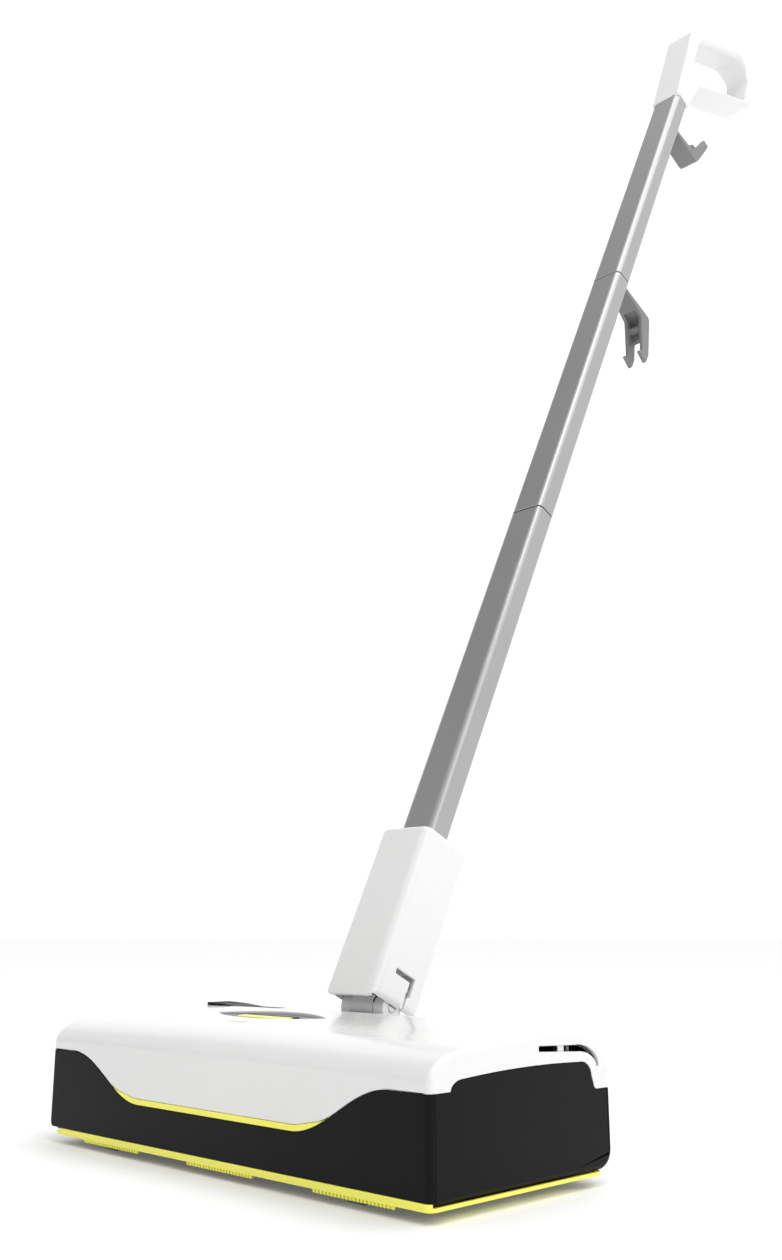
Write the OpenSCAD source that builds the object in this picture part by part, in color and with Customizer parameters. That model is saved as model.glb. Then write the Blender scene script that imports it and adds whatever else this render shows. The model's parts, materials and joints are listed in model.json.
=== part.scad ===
// Cordless carpet sweeper: a powered roller head with a side-drawn dust bin,
// a two-axis joint and a three-section handle with a loop grip.
// X runs across the head, -Y is the front, +Z is up. The floor is Z = 0.

/* [Head] */
// Width of the head across the floor
head_w = 320; // [300:1:340]
// Depth of the head, front to rear
head_d = 136; // [134:1:140]
// Height of the top cover at its highest line
head_h = 78; // [78:0.5:80]
// Wall thickness of the housing and covers
wall = 2.6; // [2:0.1:3]
// Height of the base strip above the floor
ground_gap = 5.2; // [4.8:0.1:5.4]

/* [Handle] */
// Lean of the handle behind upright
lean = 26.2; // [22:0.1:30]
// Length of each tube section that shows
tube_len = 277.6; // [240:0.1:300]
// Width of the tube, side to side
tube_w = 29.8; // [28:0.1:31]
// Depth of the tube, front to rear
tube_d = 18.2; // [17:0.1:19]
// Wall thickness of the tube
tube_wall = 0.8; // [0.8:0.1:1.4]
// Width of the grip, side to side
grip_w = 33; // [31:0.5:36]

/* [Roller] */
// Radius at the bristle tips
bristle_r = 26; // [25:0.1:26.2]
// Radius of the roller core
core_r = 13; // [10:0.5:15]
// Number of bristle rows
bristle_rows = 4; // [3:1:6]

/* [Gears] */
// Teeth on the idler
idler_teeth = 26; // [26:1:28]
// Teeth on the roller gear
roller_teeth = 30; // [30:1:32]

/* [Hidden] */
$fn = 48;
eps = 0.01;
gap = 0.2;
fit = 0.05;

white = [0.93, 0.93, 0.92];
black = [0.09, 0.09, 0.1];
yellow = [0.95, 0.92, 0.2];
grey = [0.5, 0.5, 0.51];
steel = [0.7, 0.7, 0.72];

// Head outline
half_w = head_w / 2;
front_y = -head_d / 2;
rear_y = head_d / 2;
side_base = ground_gap + 2;
front_base = ground_gap + 3.8;
front_fillet_z = head_h - 19.4;
front_fillet_a = 31.3;
front_fillet_b = 15.1;
rear_fillet_a = 41;
rear_fillet_b = 24.4;
tuck_r = 10;
tuck_right = 3;
edge_r = 3;
corner_r = 4;
crown = 1.8;

// Parting line between the white cover and the black housing
part_front_z = 53.2;
part_rear_z = 45.7;
lip_z = 29;
lip_in = 66;
lip_out = 134;
strip_h = 3;
strip_end = 96;
strip_taper = 22;

// Joint axes
tilt_y = 50.6;
tilt_z = 79.8;
swivel_z = 64;
pin_r = 3;
notch_half = 30;
notch_y = 41;
notch_z = 51;

// Roller and gear train
roller_y = -6;
roller_z = bristle_r + 1.2;
motor_y = -50;
motor_z = 38;
motor_r = 12;
gear_module = 1;
pinion_teeth = 12;
pinion_r = gear_module * pinion_teeth / 2;
idler_r = gear_module * idler_teeth / 2;
roller_gear_r = gear_module * roller_teeth / 2;
gear_x = -142;
gear_t = 6;
left_wall_x = -134;
right_wall_x = 141;
bulkhead_t = 2.6;
axle_r = 3;

// Dust bin
bin_y0 = 25;
bin_y1 = 61;
bin_z0 = 21.5;
bin_z1 = 45.4;
bin_x0 = -127;
bin_wall = 1.8;
panel_edge = 64.6;

// Wheels
rear_wheel_y = 55;
rear_wheel_x = 112;
rear_wheel_r = 10;
front_wheel_y = -57;
front_wheel_x = 104;
front_wheel_r = 6;
wheel_pin_r = 2;

// Handle frame: Z along the handle, Y towards its rear, origin on the tilt pin
tube_n = -3;
tube_r = 5;
sleeve_w = 43.4;
sleeve_d = 42;
sleeve_n = -0.4;
sleeve_r = 6;
sleeve_wall = 2.4;
sleeve_s0 = -1.5;
sleeve_s1 = 112;
tube_s0 = 36;
seam_1 = sleeve_s1 - 2.4 + tube_len + 6.4;
seam_2 = seam_1 + tube_len;
collar_s = seam_2 + tube_len - 3;

// Grip outline, as [along handle, towards rear, radius]
grip_top_rear = [collar_s + 152.6, 60.6, 22];
grip_low_rear = [collar_s + 137.8, 74.1, 23];
grip_top_front = [collar_s + 98, -6, 13.5];
grip_low_front = [collar_s + 39, 1, 6];
hole_top_rear = [collar_s + 154, 67, 16];
hole_low_rear = [collar_s + 132, 71, 14];
hole_top_front = [collar_s + 99.3, 5, 9];
hole_low_front = [collar_s + 70, 9.7, 13];

// The object rests with its bounding box centred on the origin
rear_reach = tilt_y + max(grip_low_rear[0] * sin(lean) + grip_low_rear[1] * cos(lean) + grip_low_rear[2],
                          grip_top_rear[0] * sin(lean) + grip_top_rear[1] * cos(lean) + grip_top_rear[2]);
mid_y = (front_y + rear_reach) / 2;

function arc_points(c, rx, ry, a0, a1, n) =
    [for (k = [0:n]) let (a = a0 + (a1 - a0) * k / n) [c[0] + rx * cos(a), c[1] + ry * sin(a)]];
function smooth(t) = let (u = min(1, max(0, t))) (1 - cos(180 * u)) / 2;

// Side outline of the head (Y, Z), moved in by i
function side_outline(i, base) = concat(
    [[front_y + i, base]],
    arc_points([front_y + front_fillet_a, front_fillet_z], front_fillet_a - i, front_fillet_b - i, 180, 90, 12),
    arc_points([rear_y - rear_fillet_a, head_h - rear_fillet_b], rear_fillet_a - i, rear_fillet_b - i, 90, 0, 12),
    arc_points([rear_y - tuck_r, side_base + tuck_r], tuck_r - i, tuck_r - i, 0, -90, 6),
    [[rear_y - tuck_r, base]]);

// Front outline of the head (X, Z), moved in by i
// The left side turns under with tuck_r, the right side with a smaller radius
function half_outline(i, r) = concat(
    arc_points([half_w - r, side_base + r], max(0.2, r - i), max(0.2, r - i), -90, 0, 6),
    arc_points([half_w - edge_r - i, head_h - crown - edge_r - i], edge_r, edge_r, 0, 75, 4),
    [for (x = [half_w - 20:-40:20]) [x, head_h + 0.2 - i - crown * pow(x / half_w, 2)]]);
function mirrored(pts) = [for (k = [len(pts) - 1:-1:0]) [-pts[k][0], pts[k][1]]];
function front_outline(i, base) = concat(
    [[half_w - tuck_right, base]], half_outline(i, tuck_right), mirrored(half_outline(i, tuck_r)),
    [[-(half_w - tuck_r), base]]);

// Parting line across the front, and the extra height of the lip strip
function part_z(x) = part_front_z - (part_front_z - lip_z) * smooth((lip_out - abs(x)) / (lip_out - lip_in));
function lip_extra(x) = strip_h * smooth((strip_end - abs(x)) / strip_taper);
function part_curve(extra) = [for (x = [-half_w - 2:6:half_w + 4]) [x, part_z(x) + extra * lip_extra(x)]];

// Parting line along the sides (Y, Z): a step up, a long arch and a drop at the rear
function side_part() = concat(
    [[-60, part_front_z]],
    arc_points([-45, part_front_z], 9, 5, 180, 90, 5),
    [for (y = [-35:11:31]) [y, 60.2 - 2 * pow((y - 10) / 55, 2)]],
    arc_points([44, 52.5], 8, 7, 90, 0, 5),
    arc_points([56.5, part_rear_z + 3], 3, 3, 180, 270, 3),
    [[rear_y + 2, part_rear_z]]);

module in_place() { translate([0, -mid_y, 0]) children(); }
module on_handle() { translate([0, tilt_y, tilt_z]) rotate([-lean, 0, 0]) children(); }
module box(lo, hi) { translate(lo) cube(hi - lo); }
module along_x(x0, x1) { translate([x0, 0, 0]) rotate([90, 0, 90]) linear_extrude(x1 - x0) children(); }
module along_y(y0, y1) { translate([0, y1, 0]) rotate([90, 0, 0]) linear_extrude(y1 - y0) children(); }
module rod_x(r, x0, x1, y, z) { translate([x0, y, z]) rotate([0, 90, 0]) cylinder(r = r, h = x1 - x0); }
module rod_y(r, y0, y1, x, z) { translate([x, y1, z]) rotate([90, 0, 0]) cylinder(r = r, h = y1 - y0); }
module rod_z(r, z0, z1, x, y) { translate([x, y, z0]) cylinder(r = r, h = z1 - z0); }

module rounded_rect(w, d, r) {
    square([w - 2 * r, d], center = true);
    square([w, d - 2 * r], center = true);
    for (sx = [-1, 1], sy = [-1, 1])
        translate([sx * (w / 2 - r), sy * (d / 2 - r)]) circle(r = r);
}

// ---------- Head shells ----------

module head_solid(i, base) {
    intersection() {
        along_x(-half_w + i, half_w - i) polygon(side_outline(i, base));
        along_y(front_y - 1, rear_y + 1) polygon(front_outline(i, base));
        translate([0, 0, base - 1])
            linear_extrude(head_h + 2) rounded_rect(head_w - 2 * i, head_d - 2 * i, corner_r);
    }
}
module head_skin() {
    difference() {
        head_solid(0, side_base);
        head_solid(wall, side_base - 5);
        box([-half_w, front_y - 1, 0], [half_w, front_y + wall + 0.1, front_base]);
    }
}
// Everything below the parting line; extra = 1 adds the lip strip's height
module below_part(extra) {
    along_y(front_y - 2, -60 + eps)
        polygon(concat([[-half_w - 2, 0]], part_curve(extra), [[half_w + 4, 0]]));
    along_x(-half_w - 2, half_w + 2) polygon(concat([[-60, 0]], side_part(), [[rear_y + 2, 0]]));
}
module end_zone(side, clearance) {
    box([side > 0 ? half_w - 9 + clearance : -half_w - 1, -panel_edge + clearance, 0],
        [side > 0 ? half_w + 1 : -half_w + 9 - clearance, panel_edge - clearance, head_h]);
}

module lower_housing() {
    color(black) in_place() {
        difference() {
            union() {
                difference() {
                    intersection() { head_skin(); below_part(0); }
                    end_zone(1, 0);
                    end_zone(-1, 0);
                }
                housing_floor();
                housing_walls();
            }
            housing_cuts();
        }
    }
}
floor_z0 = side_base - 1.2;
floor_z1 = side_base + 1.4;
floor_x = 150.6;
floor_right = half_w - wall - 0.8;
module housing_floor() {
    box([-floor_x, front_y + wall - eps, floor_z0], [floor_x, rear_y - 8, floor_z1]);
    box([floor_x - eps, front_y + wall + corner_r, floor_z0], [floor_right, rear_y - tuck_r - gap, floor_z1]);
    box([-floor_x, front_y + wall - eps, floor_z0], [floor_x, front_y + wall + 2, front_base + 3]);
    box([-floor_x, rear_y - 8 - eps, side_base + 0.3], [floor_x, rear_y - wall - 1, side_base + 2.6]);
}
module housing_walls() {
    // bulkheads either side of the roller
    box([left_wall_x, -34, floor_z0], [left_wall_x + bulkhead_t, 64, 48]);
    box([right_wall_x, -34, floor_z0], [right_wall_x + bulkhead_t, 64, 48]);
    // wall between the roller and the front compartment, and the dirt ramp
    box([left_wall_x, -36, floor_z0], [right_wall_x + bulkhead_t, -34, 50]);
    box([left_wall_x, 21.2, floor_z0], [right_wall_x + bulkhead_t, 23, 29]);
    // wheel pin ribs
    for (sx = [-1, 1]) {
        for (dx = [-8, 6]) {
            box([sx * rear_wheel_x + dx, 45, floor_z0], [sx * rear_wheel_x + dx + 2, 62, 14]);
            box([sx * front_wheel_x + dx, -64, floor_z0], [sx * front_wheel_x + dx + 2, -50, 10]);
        }
    }
}
module housing_cuts() {
    // rebate for the base strip
    linear_extrude(side_base) difference() {
        strip_plan(-gap);
        strip_plan(2 + gap);
    }
    // roller mouth
    box([left_wall_x + bulkhead_t, -33, 0], [right_wall_x, 20.6, floor_z1 + 1]);
    // bin passage through the right bulkhead
    box([right_wall_x - 1, bin_y0 - 1, bin_z0 - 1], [right_wall_x + 5, bin_y1 + 1, 49]);
    // wheel wells and pin bores
    for (sx = [-1, 1]) {
        box([sx * rear_wheel_x - 5.5, 42.5, 0], [sx * rear_wheel_x + 5.5, 66, 14.5]);
        box([sx * front_wheel_x - 5.5, -64.5, 0], [sx * front_wheel_x + 5.5, -49.5, 11]);
        rod_x(wheel_pin_r, sx * rear_wheel_x - 9, sx * rear_wheel_x + 9, rear_wheel_y, rear_wheel_r);
        rod_x(wheel_pin_r, sx * front_wheel_x - 9, sx * front_wheel_x + 9, front_wheel_y, front_wheel_r);
    }
    // roller bush seats
    rod_x(7, left_wall_x - 1, left_wall_x + 4, roller_y, roller_z);
    rod_x(7, right_wall_x - 1, right_wall_x + 4, roller_y, roller_z);
    // idler pin seat
    rod_x(2, left_wall_x - 1, left_wall_x + 4, idler_pos[0], idler_pos[1]);
    for (p = screw_spots) rod_z(1.8, 0, 20, p[0], p[1]);
}

module left_end_cap() {
    color(black) in_place() difference() {
        intersection() {
            head_skin();
            below_part(0);
            end_zone(-1, gap / 2);
        }
        rod_x(3.6, -half_w - 1, -half_w + 4, socket_y, socket_z);
    }
}

boss_limit = half_w - 10.4;
screw_spots = [[-129.5, -59], [138, -57], [-144, 24], [147.4, 4]];
slot_upper = concat([[9.9, 69.2]], arc_points([40, 57], 18.5, 11.2, 96, 0, 8));
slot_lower = concat(arc_points([41, 56.5], 15.6, 8.4, 2, 90, 6), [[9.9, 66.6]]);

module top_cover() {
    color(white) in_place() difference() {
        union() {
            difference() {
                head_skin();
                for (dy = [-gap, gap]) translate([0, dy, gap]) below_part(1);
            }
            intersection() {
                head_solid(0, side_base);
                box([-notch_half - 2.4, notch_y - 2.4, notch_z - 2.4], [notch_half + 2.4, rear_y, head_h]);
            }
            // bosses that the housing screws enter, clear of the housing's tucked edge
            intersection() {
                head_solid(0.4, side_base);
                box([-boss_limit, front_y, side_base], [boss_limit, rear_y, head_h]);
                for (p = screw_spots) rod_z(3.6, floor_z1 + gap, head_h, p[0], p[1]);
            }
            // post that the release spring pushes on
            intersection() {
                head_solid(0.4, side_base);
                box([half_w - 12, 24, 52], [half_w - 3.4, 26.5, head_h]);
            }
        }
        box([-notch_half, notch_y, notch_z], [notch_half, rear_y + 1, head_h + 2]);
        // finger slot over the bin's end panel
        along_x(half_w - wall - 1, half_w + 1) polygon(concat(slot_upper, slot_lower));
        pedal_recess();
        badge_recess();
        led_slot(0);
        for (p = screw_spots) rod_z(1.5, 0, 24, p[0], p[1]);
        for (sx = [-1, 1], y = [50, 58]) rod_z(1.5, notch_z - 3, notch_z + 1, sx * 12.5, y);
    }
}
module lip_strip() {
    color(yellow) in_place() difference() {
        intersection() {
            head_skin();
            translate([0, 0, gap / 2]) below_part(1);
            box([-strip_end + 2, front_y - 1, 0], [strip_end - 2, -60, head_h]);
        }
        translate([0, 0, gap / 2]) below_part(0);
    }
}

// ---------- Base strip with three comb zones ----------

tooth_pitch = 2.5;
teeth_per_zone = 22;
tooth_drop = 1.5;
tooth_t = 1.6;
bar_x0 = -148;
comb_starts = [-118, -17, 83.5];
module base_strip() {
    color(yellow) in_place() {
        difference() {
            union() {
                translate([0, 0, ground_gap])
                    linear_extrude(side_base - ground_gap - gap) difference() {
                        strip_plan(0);
                        strip_plan(2);
                    }
                // taller bar along the front
                translate([0, 0, ground_gap]) linear_extrude(front_base - gap - ground_gap) intersection() {
                    rounded_rect(head_w, head_d, corner_r);
                    translate([bar_x0, front_y - 1]) square([half_w + 1 - bar_x0, 3.2]);
                }
                // flange under the floor's right edge
                box([half_w - 8, -58, ground_gap], [half_w - 1.9, 40, floor_z0 - 0.1]);
                // teeth hanging from the bar
                for (x0 = comb_starts, k = [0:teeth_per_zone - 1])
                    box([x0 + k * tooth_pitch, front_y, ground_gap - tooth_drop],
                        [x0 + (k + 0.5) * tooth_pitch, front_y + tooth_t, ground_gap + 1]);
            }
            for (sx = [-1, 1])
                box([sx * rear_wheel_x - 5.6, 42, 0], [sx * rear_wheel_x + 5.6, 66, 14]);
        }
    }
}
// Plan of the strip: 7 in from the left side and 8.4 from the rear, flush at the right and front
module strip_plan(i) {
    translate([3.5, -4.2]) rounded_rect(head_w - 7 - 2 * i, head_d - 8.4 - 2 * i, 5);
}

// ---------- Top fittings ----------

badge_pos = [-33, 0];
badge_a = 50;
badge_b = 15;
pedal_x0 = -131;
pedal_x1 = -57;
pedal_y0 = 27;
pedal_y1 = 45;
pedal_mid = (pedal_x0 + pedal_x1) / 2;
pedal_z = 75.4;
pedal_tilt = 2.2;
pivot_drop = 8;
top_slope = 3.3;

module badge_shape(i) {
    // pointed oval from two arcs
    r = (pow(badge_a, 2) + pow(badge_b, 2)) / (2 * badge_b);
    intersection() {
        translate([0, r - badge_b]) circle(r = r - i, $fn = 96);
        translate([0, badge_b - r]) circle(r = r - i, $fn = 96);
    }
}
module badge_recess() {
    translate([badge_pos[0], badge_pos[1], 66]) linear_extrude(14) badge_shape(0);
}
module badge_plate() {
    color(grey) in_place() translate([badge_pos[0], badge_pos[1], 73.3])
        rotate([top_slope, 0, 0]) linear_extrude(1.6) badge_shape(0.6);
}
module badge_inlay() {
    color(yellow) in_place() translate([badge_pos[0], badge_pos[1], 73.3])
        rotate([top_slope, 0, 0]) translate([-20, -9, 1.6 + eps]) linear_extrude(0.6)
            rounded_box(40, 12, 2);
}
module rounded_box(w, d, r) { translate([w / 2, d / 2]) rounded_rect(w, d, r); }
module led_slot(i) {
    translate([-25, -31, 68]) linear_extrude(10) rounded_rect(18 - 2 * i, 3.4 - 2 * i, 1.5 - i);
}
module led_window() {
    color([0.45, 0.85, 0.4]) in_place() intersection() {
        head_solid(0.3, side_base);
        translate([0, 0, 1]) led_slot(0.1);
    }
}
module circuit_board() {
    color([0.1, 0.35, 0.2]) in_place() {
        box([-70, -32, 62], [30, 20, 63.6]);
        box([-30, -33, 63.6], [-20, -29, 67.5]);
        box([-60, -10, 63.6], [-46, 6, 68]);
        rod_z(4, 63.6, 70, 10, 0);
    }
}
module pedal_recess() {
    box([pedal_x0 - 1.2, pedal_y0 - 0.6, 64], [pedal_x1 + 1.2, pedal_y1 + 0.6, head_h + 3]);
}
module foot_pedal() {
    color(black) in_place() translate([pedal_mid, 0, pedal_z]) rotate([0, pedal_tilt, 0]) {
        difference() {
            union() {
                box([pedal_x0 - pedal_mid, pedal_y0, 0], [pedal_x1 - pedal_mid, pedal_y1, 2.2]);
                along_y(pedal_y0 + 2, pedal_y1 - 2)
                    polygon([[-9, 0.5], [9, 0.5], [3.5, -pivot_drop - 3], [-3.5, -pivot_drop - 3]]);
            }
            rod_y(1.5 + fit, pedal_y0 - 1, pedal_y1 + 1, 0, -pivot_drop);
        }
    }
}
module pedal_pin() {
    color(steel) in_place() translate([pedal_mid, 0, pedal_z]) rotate([0, pedal_tilt, 0])
        rod_y(1.5, pedal_y0 - 2.4, pedal_y1 + 2.4, 0, -pivot_drop);
}
module rocker_switch_body() {
    color(black) in_place() {
        difference() {
            box([pedal_x0 + 4, pedal_y0 - 2.6, 57], [pedal_x1 - 4, pedal_y1 + 2.6, 69.8]);
            box([pedal_x0, pedal_y0 - 0.4, 58.8], [pedal_x1, pedal_y1 + 0.4, 80]);
            translate([pedal_mid, 0, pedal_z]) rotate([0, pedal_tilt, 0])
                rod_y(1.5, pedal_y0 - 4, pedal_y1 + 4, 0, -pivot_drop);
        }
        box([pedal_mid - 10, pedal_y0 + 4, 58.8 - eps], [pedal_mid + 10, pedal_y1 - 4, 63.4]);
    }
}

// ---------- Power ----------

socket_y = 42;
socket_z = 33;
module charging_socket() {
    color(black) in_place() difference() {
        union() {
            rod_x(5, -half_w + wall + 0.2, -half_w + 16, socket_y, socket_z);
            box([-half_w + 10, socket_y - 6, socket_z - 6], [-half_w + 17, socket_y + 6, socket_z + 6]);
        }
        rod_x(2.75, -half_w, -half_w + wall + 10, socket_y, socket_z);
    }
}
cell_r = 9.2;
cell_len = 59;
cell_can = 2.7;
cell_pitch = 61;
cell_x = [-52, -52 + cell_pitch, -52 + 2 * cell_pitch];
cell_z = [25, 45];
module battery_cells() {
    color([0.3, 0.5, 0.75]) in_place() for (x = cell_x, z = cell_z) difference() {
        rod_x(cell_r, x, x + cell_len, motor_y, z);
        rod_x(cell_r - cell_can, x + cell_can, x + cell_len - cell_can, motor_y, z);
    }
}
module battery_cradle() {
    color(black) in_place() difference() {
        for (x = [cell_x[0], cell_x[1], cell_x[2], cell_x[2] + cell_pitch])
            box([x - 2, -63, floor_z1], [x, -38, 54]);
        for (z = cell_z) rod_x(cell_r - 4, cell_x[0] - 5, cell_x[2] + cell_pitch + 5, motor_y, z);
        // room for the front wheel
        box([front_wheel_x - 8.4, -70, 0], [front_wheel_x + 8.4, -36, 14]);
    }
    color(black) in_place() for (y = [-63.2, -40]) difference() {
        box([cell_x[0] - 2, y, floor_z1], [cell_x[2] + cell_pitch, y + 2.2, 20]);
        box([front_wheel_x - 8.4, -70, 0], [front_wheel_x + 8.4, -36, 14]);
    }
}
module motor() {
    color(steel) in_place() difference() {
        union() {
            rod_x(motor_r, -124, -72, motor_y, motor_z);
            rod_x(4, -128, -124 + eps, motor_y, motor_z);
            rod_x(4, -72 - eps, -69, motor_y, motor_z);
        }
        rod_x(1.5 + fit, -130, -100, motor_y, motor_z);
    }
}
module motor_brackets() {
    color(black) in_place() difference() {
        for (x = [-120, -80]) box([x, -63.2, floor_z1], [x + 3, -37, 44]);
        rod_x(motor_r, -125, -70, motor_y, motor_z);
    }
}

// ---------- Gear train ----------

// Idler centre, from the distances to the motor and the roller
span = norm([roller_y - motor_y, roller_z - motor_z]);
near = pinion_r + idler_r;
far = idler_r + roller_gear_r;
foot = (near * near - far * far + span * span) / (2 * span);
rise = sqrt(near * near - foot * foot);
ray = [roller_y - motor_y, roller_z - motor_z] / span;
idler_pos = [motor_y, motor_z] + foot * ray + rise * [-ray[1], ray[0]];
motor_to_idler = atan2(idler_pos[1] - motor_z, idler_pos[0] - motor_y);
idler_to_roller = atan2(roller_z - idler_pos[1], roller_y - idler_pos[0]);
pinion_phase = 0;
idler_phase = meshed(pinion_phase, motor_to_idler, pinion_teeth, idler_teeth);
roller_phase = meshed(idler_phase, idler_to_roller, idler_teeth, roller_teeth);
// Angle of a tooth on gear b that meshes with gear a, whose tooth is at phase
function meshed(phase, line, a, b) = line + 180 + (line - phase) * a / b + 180 / b;

function gear_outline(teeth, phase) = let (p = 360 / teeth, r = gear_module * teeth / 2)
    [for (k = [0:teeth - 1], q = [[-0.3, -1.2], [-0.215, 0], [-0.11, 0.9], [0.11, 0.9], [0.215, 0], [0.3, -1.2]])
        let (a = phase + (k + q[0]) * p, d = r + q[1] * gear_module) [d * cos(a), d * sin(a)]];
module gear(teeth, phase, pos, x0, thick, bore) {
    difference() {
        translate([0, pos[0], pos[1]]) along_x(x0, x0 + thick) polygon(gear_outline(teeth, phase));
        rod_x(bore, x0 - 1, x0 + thick + 1, pos[0], pos[1]);
    }
}
module motor_pinion() {
    color("gold") in_place() {
        gear(pinion_teeth, pinion_phase, [motor_y, motor_z], gear_x, gear_t, 1.5 - eps);
        rod_x(1.5, gear_x, -101, motor_y, motor_z);
    }
}
module idler_gear() {
    color(white) in_place() gear(idler_teeth, idler_phase, idler_pos, gear_x, gear_t, 2 + fit);
}
module idler_pin() {
    color(steel) in_place() rod_x(2, gear_x - 2, left_wall_x + bulkhead_t, idler_pos[0], idler_pos[1]);
}
module roller_gear() {
    color(white) in_place()
        gear(roller_teeth, roller_phase, [roller_y, roller_z], gear_x, gear_t, axle_r);
}
module gear_cover() {
    color(black) in_place() difference() {
        union() {
            box([gear_x - 4.6, -60, 22], [gear_x - 2.8, 14, 52]);
            box([gear_x - 4.6, -62, 22], [left_wall_x - 0.2, -60 + eps, 52]);
            box([gear_x - 4.6, 14 - eps, 22], [left_wall_x - 0.2, 16, 52]);
        }
        rod_x(axle_r + 0.6, gear_x - 6, gear_x, roller_y, roller_z);
    }
}

// ---------- Roller ----------

roller_x0 = left_wall_x + bulkhead_t + 2;
roller_x1 = right_wall_x - 2;
row_steps = 8;
row_twist = 50;
module roller_core() {
    color(black) in_place() difference() {
        rod_x(core_r, roller_x0, roller_x1, roller_y, roller_z);
        rod_x(axle_r, roller_x0 - 1, roller_x1 + 1, roller_y, roller_z);
    }
}
// Each row is a chevron of short blocks that step round the core
module bristle_strips() {
    step = (roller_x1 - roller_x0 - 2) / row_steps;
    color(yellow) in_place()
        for (row = [0:bristle_rows - 1]) difference() {
            union() for (k = [0:row_steps - 1])
                translate([roller_x0 + 1 + k * step, roller_y, roller_z])
                    rotate([row * 360 / bristle_rows + row_twist * abs((k + 0.5) / row_steps - 0.5), 0, 0])
                        translate([-eps, -3.4, 0]) cube([step + 2 * eps, 6.8, bristle_r - 0.3]);
            rod_x(core_r, roller_x0 - 1, roller_x1 + 1, roller_y, roller_z);
        }
}
module roller_axle() {
    color(steel) in_place() rod_x(axle_r, gear_x - 1.5, right_wall_x + 4, roller_y, roller_z);
}
module roller_bushes() {
    color("peru") in_place() for (x = [left_wall_x, right_wall_x]) difference() {
        rod_x(7, x, x + bulkhead_t, roller_y, roller_z);
        rod_x(axle_r + fit, x - 1, x + bulkhead_t + 1, roller_y, roller_z);
    }
}
module roller_hood() {
    color(black) in_place() difference() {
        union() {
            rod_x(29.4, left_wall_x + bulkhead_t + 0.1, right_wall_x - 0.1, roller_y, roller_z);
            box([left_wall_x + bulkhead_t + 0.1, -34, 40], [right_wall_x - 0.1, -24, 50]);
            for (x = [-66, 20]) box([x, -10, 50], [x + 6, -2, 62]);
        }
        rod_x(27.6, left_wall_x, right_wall_x + 5, roller_y, roller_z);
        box([left_wall_x, -60, -9], [right_wall_x + 5, 60, roller_z + 6]);
        box([left_wall_x, 14, 0], [right_wall_x + 5, 60, 60]);
        box([left_wall_x, -60, 0], [right_wall_x + 5, -34, 60]);
    }
}
module dirt_flap() {
    color(grey) in_place() along_x(left_wall_x + bulkhead_t + 1, right_wall_x - 1)
        polygon([[23, 22], [24.2, 22], [24.2, 31.5], [21.4, 31.5], [21.4, 29.1], [23, 29.1]]);
}

// ---------- Dust bin ----------

module bin_tray() {
    color([0.25, 0.25, 0.27]) in_place() {
        difference() {
            box([bin_x0, bin_y0, bin_z0], [half_w - wall - 4, bin_y1, bin_z1]);
            box([bin_x0 + bin_wall, bin_y0 + bin_wall, bin_z0 + bin_wall],
                [right_wall_x - 6, bin_y1 - bin_wall, bin_z1 + 1]);
            box([bin_x0 + bin_wall, bin_y0 - 1, 32], [right_wall_x - 6, bin_y1 - 8, bin_z1 + 1]);
            box([right_wall_x - 6 + bin_wall, bin_y0 + bin_wall, bin_z0 - 1],
                [half_w - wall - 4 - bin_wall, bin_y1 - bin_wall, bin_z1 - bin_wall]);
        }
    }
}
module bin_end_panel() {
    color(black) in_place() {
        intersection() {
            head_skin();
            below_part(0);
            end_zone(1, gap / 2);
        }
        box([half_w - wall - 4, bin_y0, bin_z0], [half_w - wall + eps, bin_y1, bin_z1]);
    }
}
module bin_release() {
    color(grey) in_place() difference() {
        intersection() {
            head_solid(wall + 0.6, side_base);
            box([half_w - 12, 36, 47.2], [half_w - 2, 56.5, 72]);
        }
        for (y = [38:3.4:55]) box([half_w - 4.6, y, 56], [half_w, y + 1.6, 72]);
        box([half_w - 13, 38, 47], [half_w - 6, 54, 58]);
    }
}
module release_spring() {
    color(steel) in_place() difference() {
        rod_y(2.4, 26.5, 36, half_w - 8, 61);
        rod_y(1.6, 24, 38, half_w - 8, 61);
    }
}

// ---------- Wheels ----------

module wheel(x, y, r, tread, w) {
    difference() {
        rod_x(r - tread, x - w / 2, x + w / 2, y, r);
        rod_x(wheel_pin_r + fit, x - w, x + w, y, r);
    }
}
module tyre(x, y, r, tread, w) {
    difference() {
        rod_x(r, x - w / 2, x + w / 2, y, r);
        rod_x(r - tread, x - w, x + w, y, r);
    }
}
rear_w = 10;
tread_t = 2;
module rear_wheel_left() { color(grey) in_place() wheel(-rear_wheel_x, rear_wheel_y, rear_wheel_r, tread_t, rear_w); }
module rear_wheel_right() { color(grey) in_place() wheel(rear_wheel_x, rear_wheel_y, rear_wheel_r, tread_t, rear_w); }
module rear_tyre_left() { color(black) in_place() tyre(-rear_wheel_x, rear_wheel_y, rear_wheel_r, tread_t, rear_w); }
module rear_tyre_right() { color(black) in_place() tyre(rear_wheel_x, rear_wheel_y, rear_wheel_r, tread_t, rear_w); }
module front_wheel_left() { color(grey) in_place() wheel(-front_wheel_x, front_wheel_y, front_wheel_r, 0, rear_w); }
module front_wheel_right() { color(grey) in_place() wheel(front_wheel_x, front_wheel_y, front_wheel_r, 0, rear_w); }
module wheel_pins() {
    color(steel) in_place() for (sx = [-1, 1]) {
        rod_x(wheel_pin_r, sx * rear_wheel_x - 8, sx * rear_wheel_x + 8, rear_wheel_y, rear_wheel_r);
        rod_x(wheel_pin_r, sx * front_wheel_x - 8, sx * front_wheel_x + 8, front_wheel_y, front_wheel_r);
    }
}
module housing_screws() {
    color(steel) in_place() for (p = screw_spots) {
        rod_z(1.5, floor_z0 - 1, 22, p[0], p[1]);
        rod_z(2.8, floor_z0 - 1.6, floor_z0, p[0], p[1]);
    }
}

// ---------- Two-axis joint ----------

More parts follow.
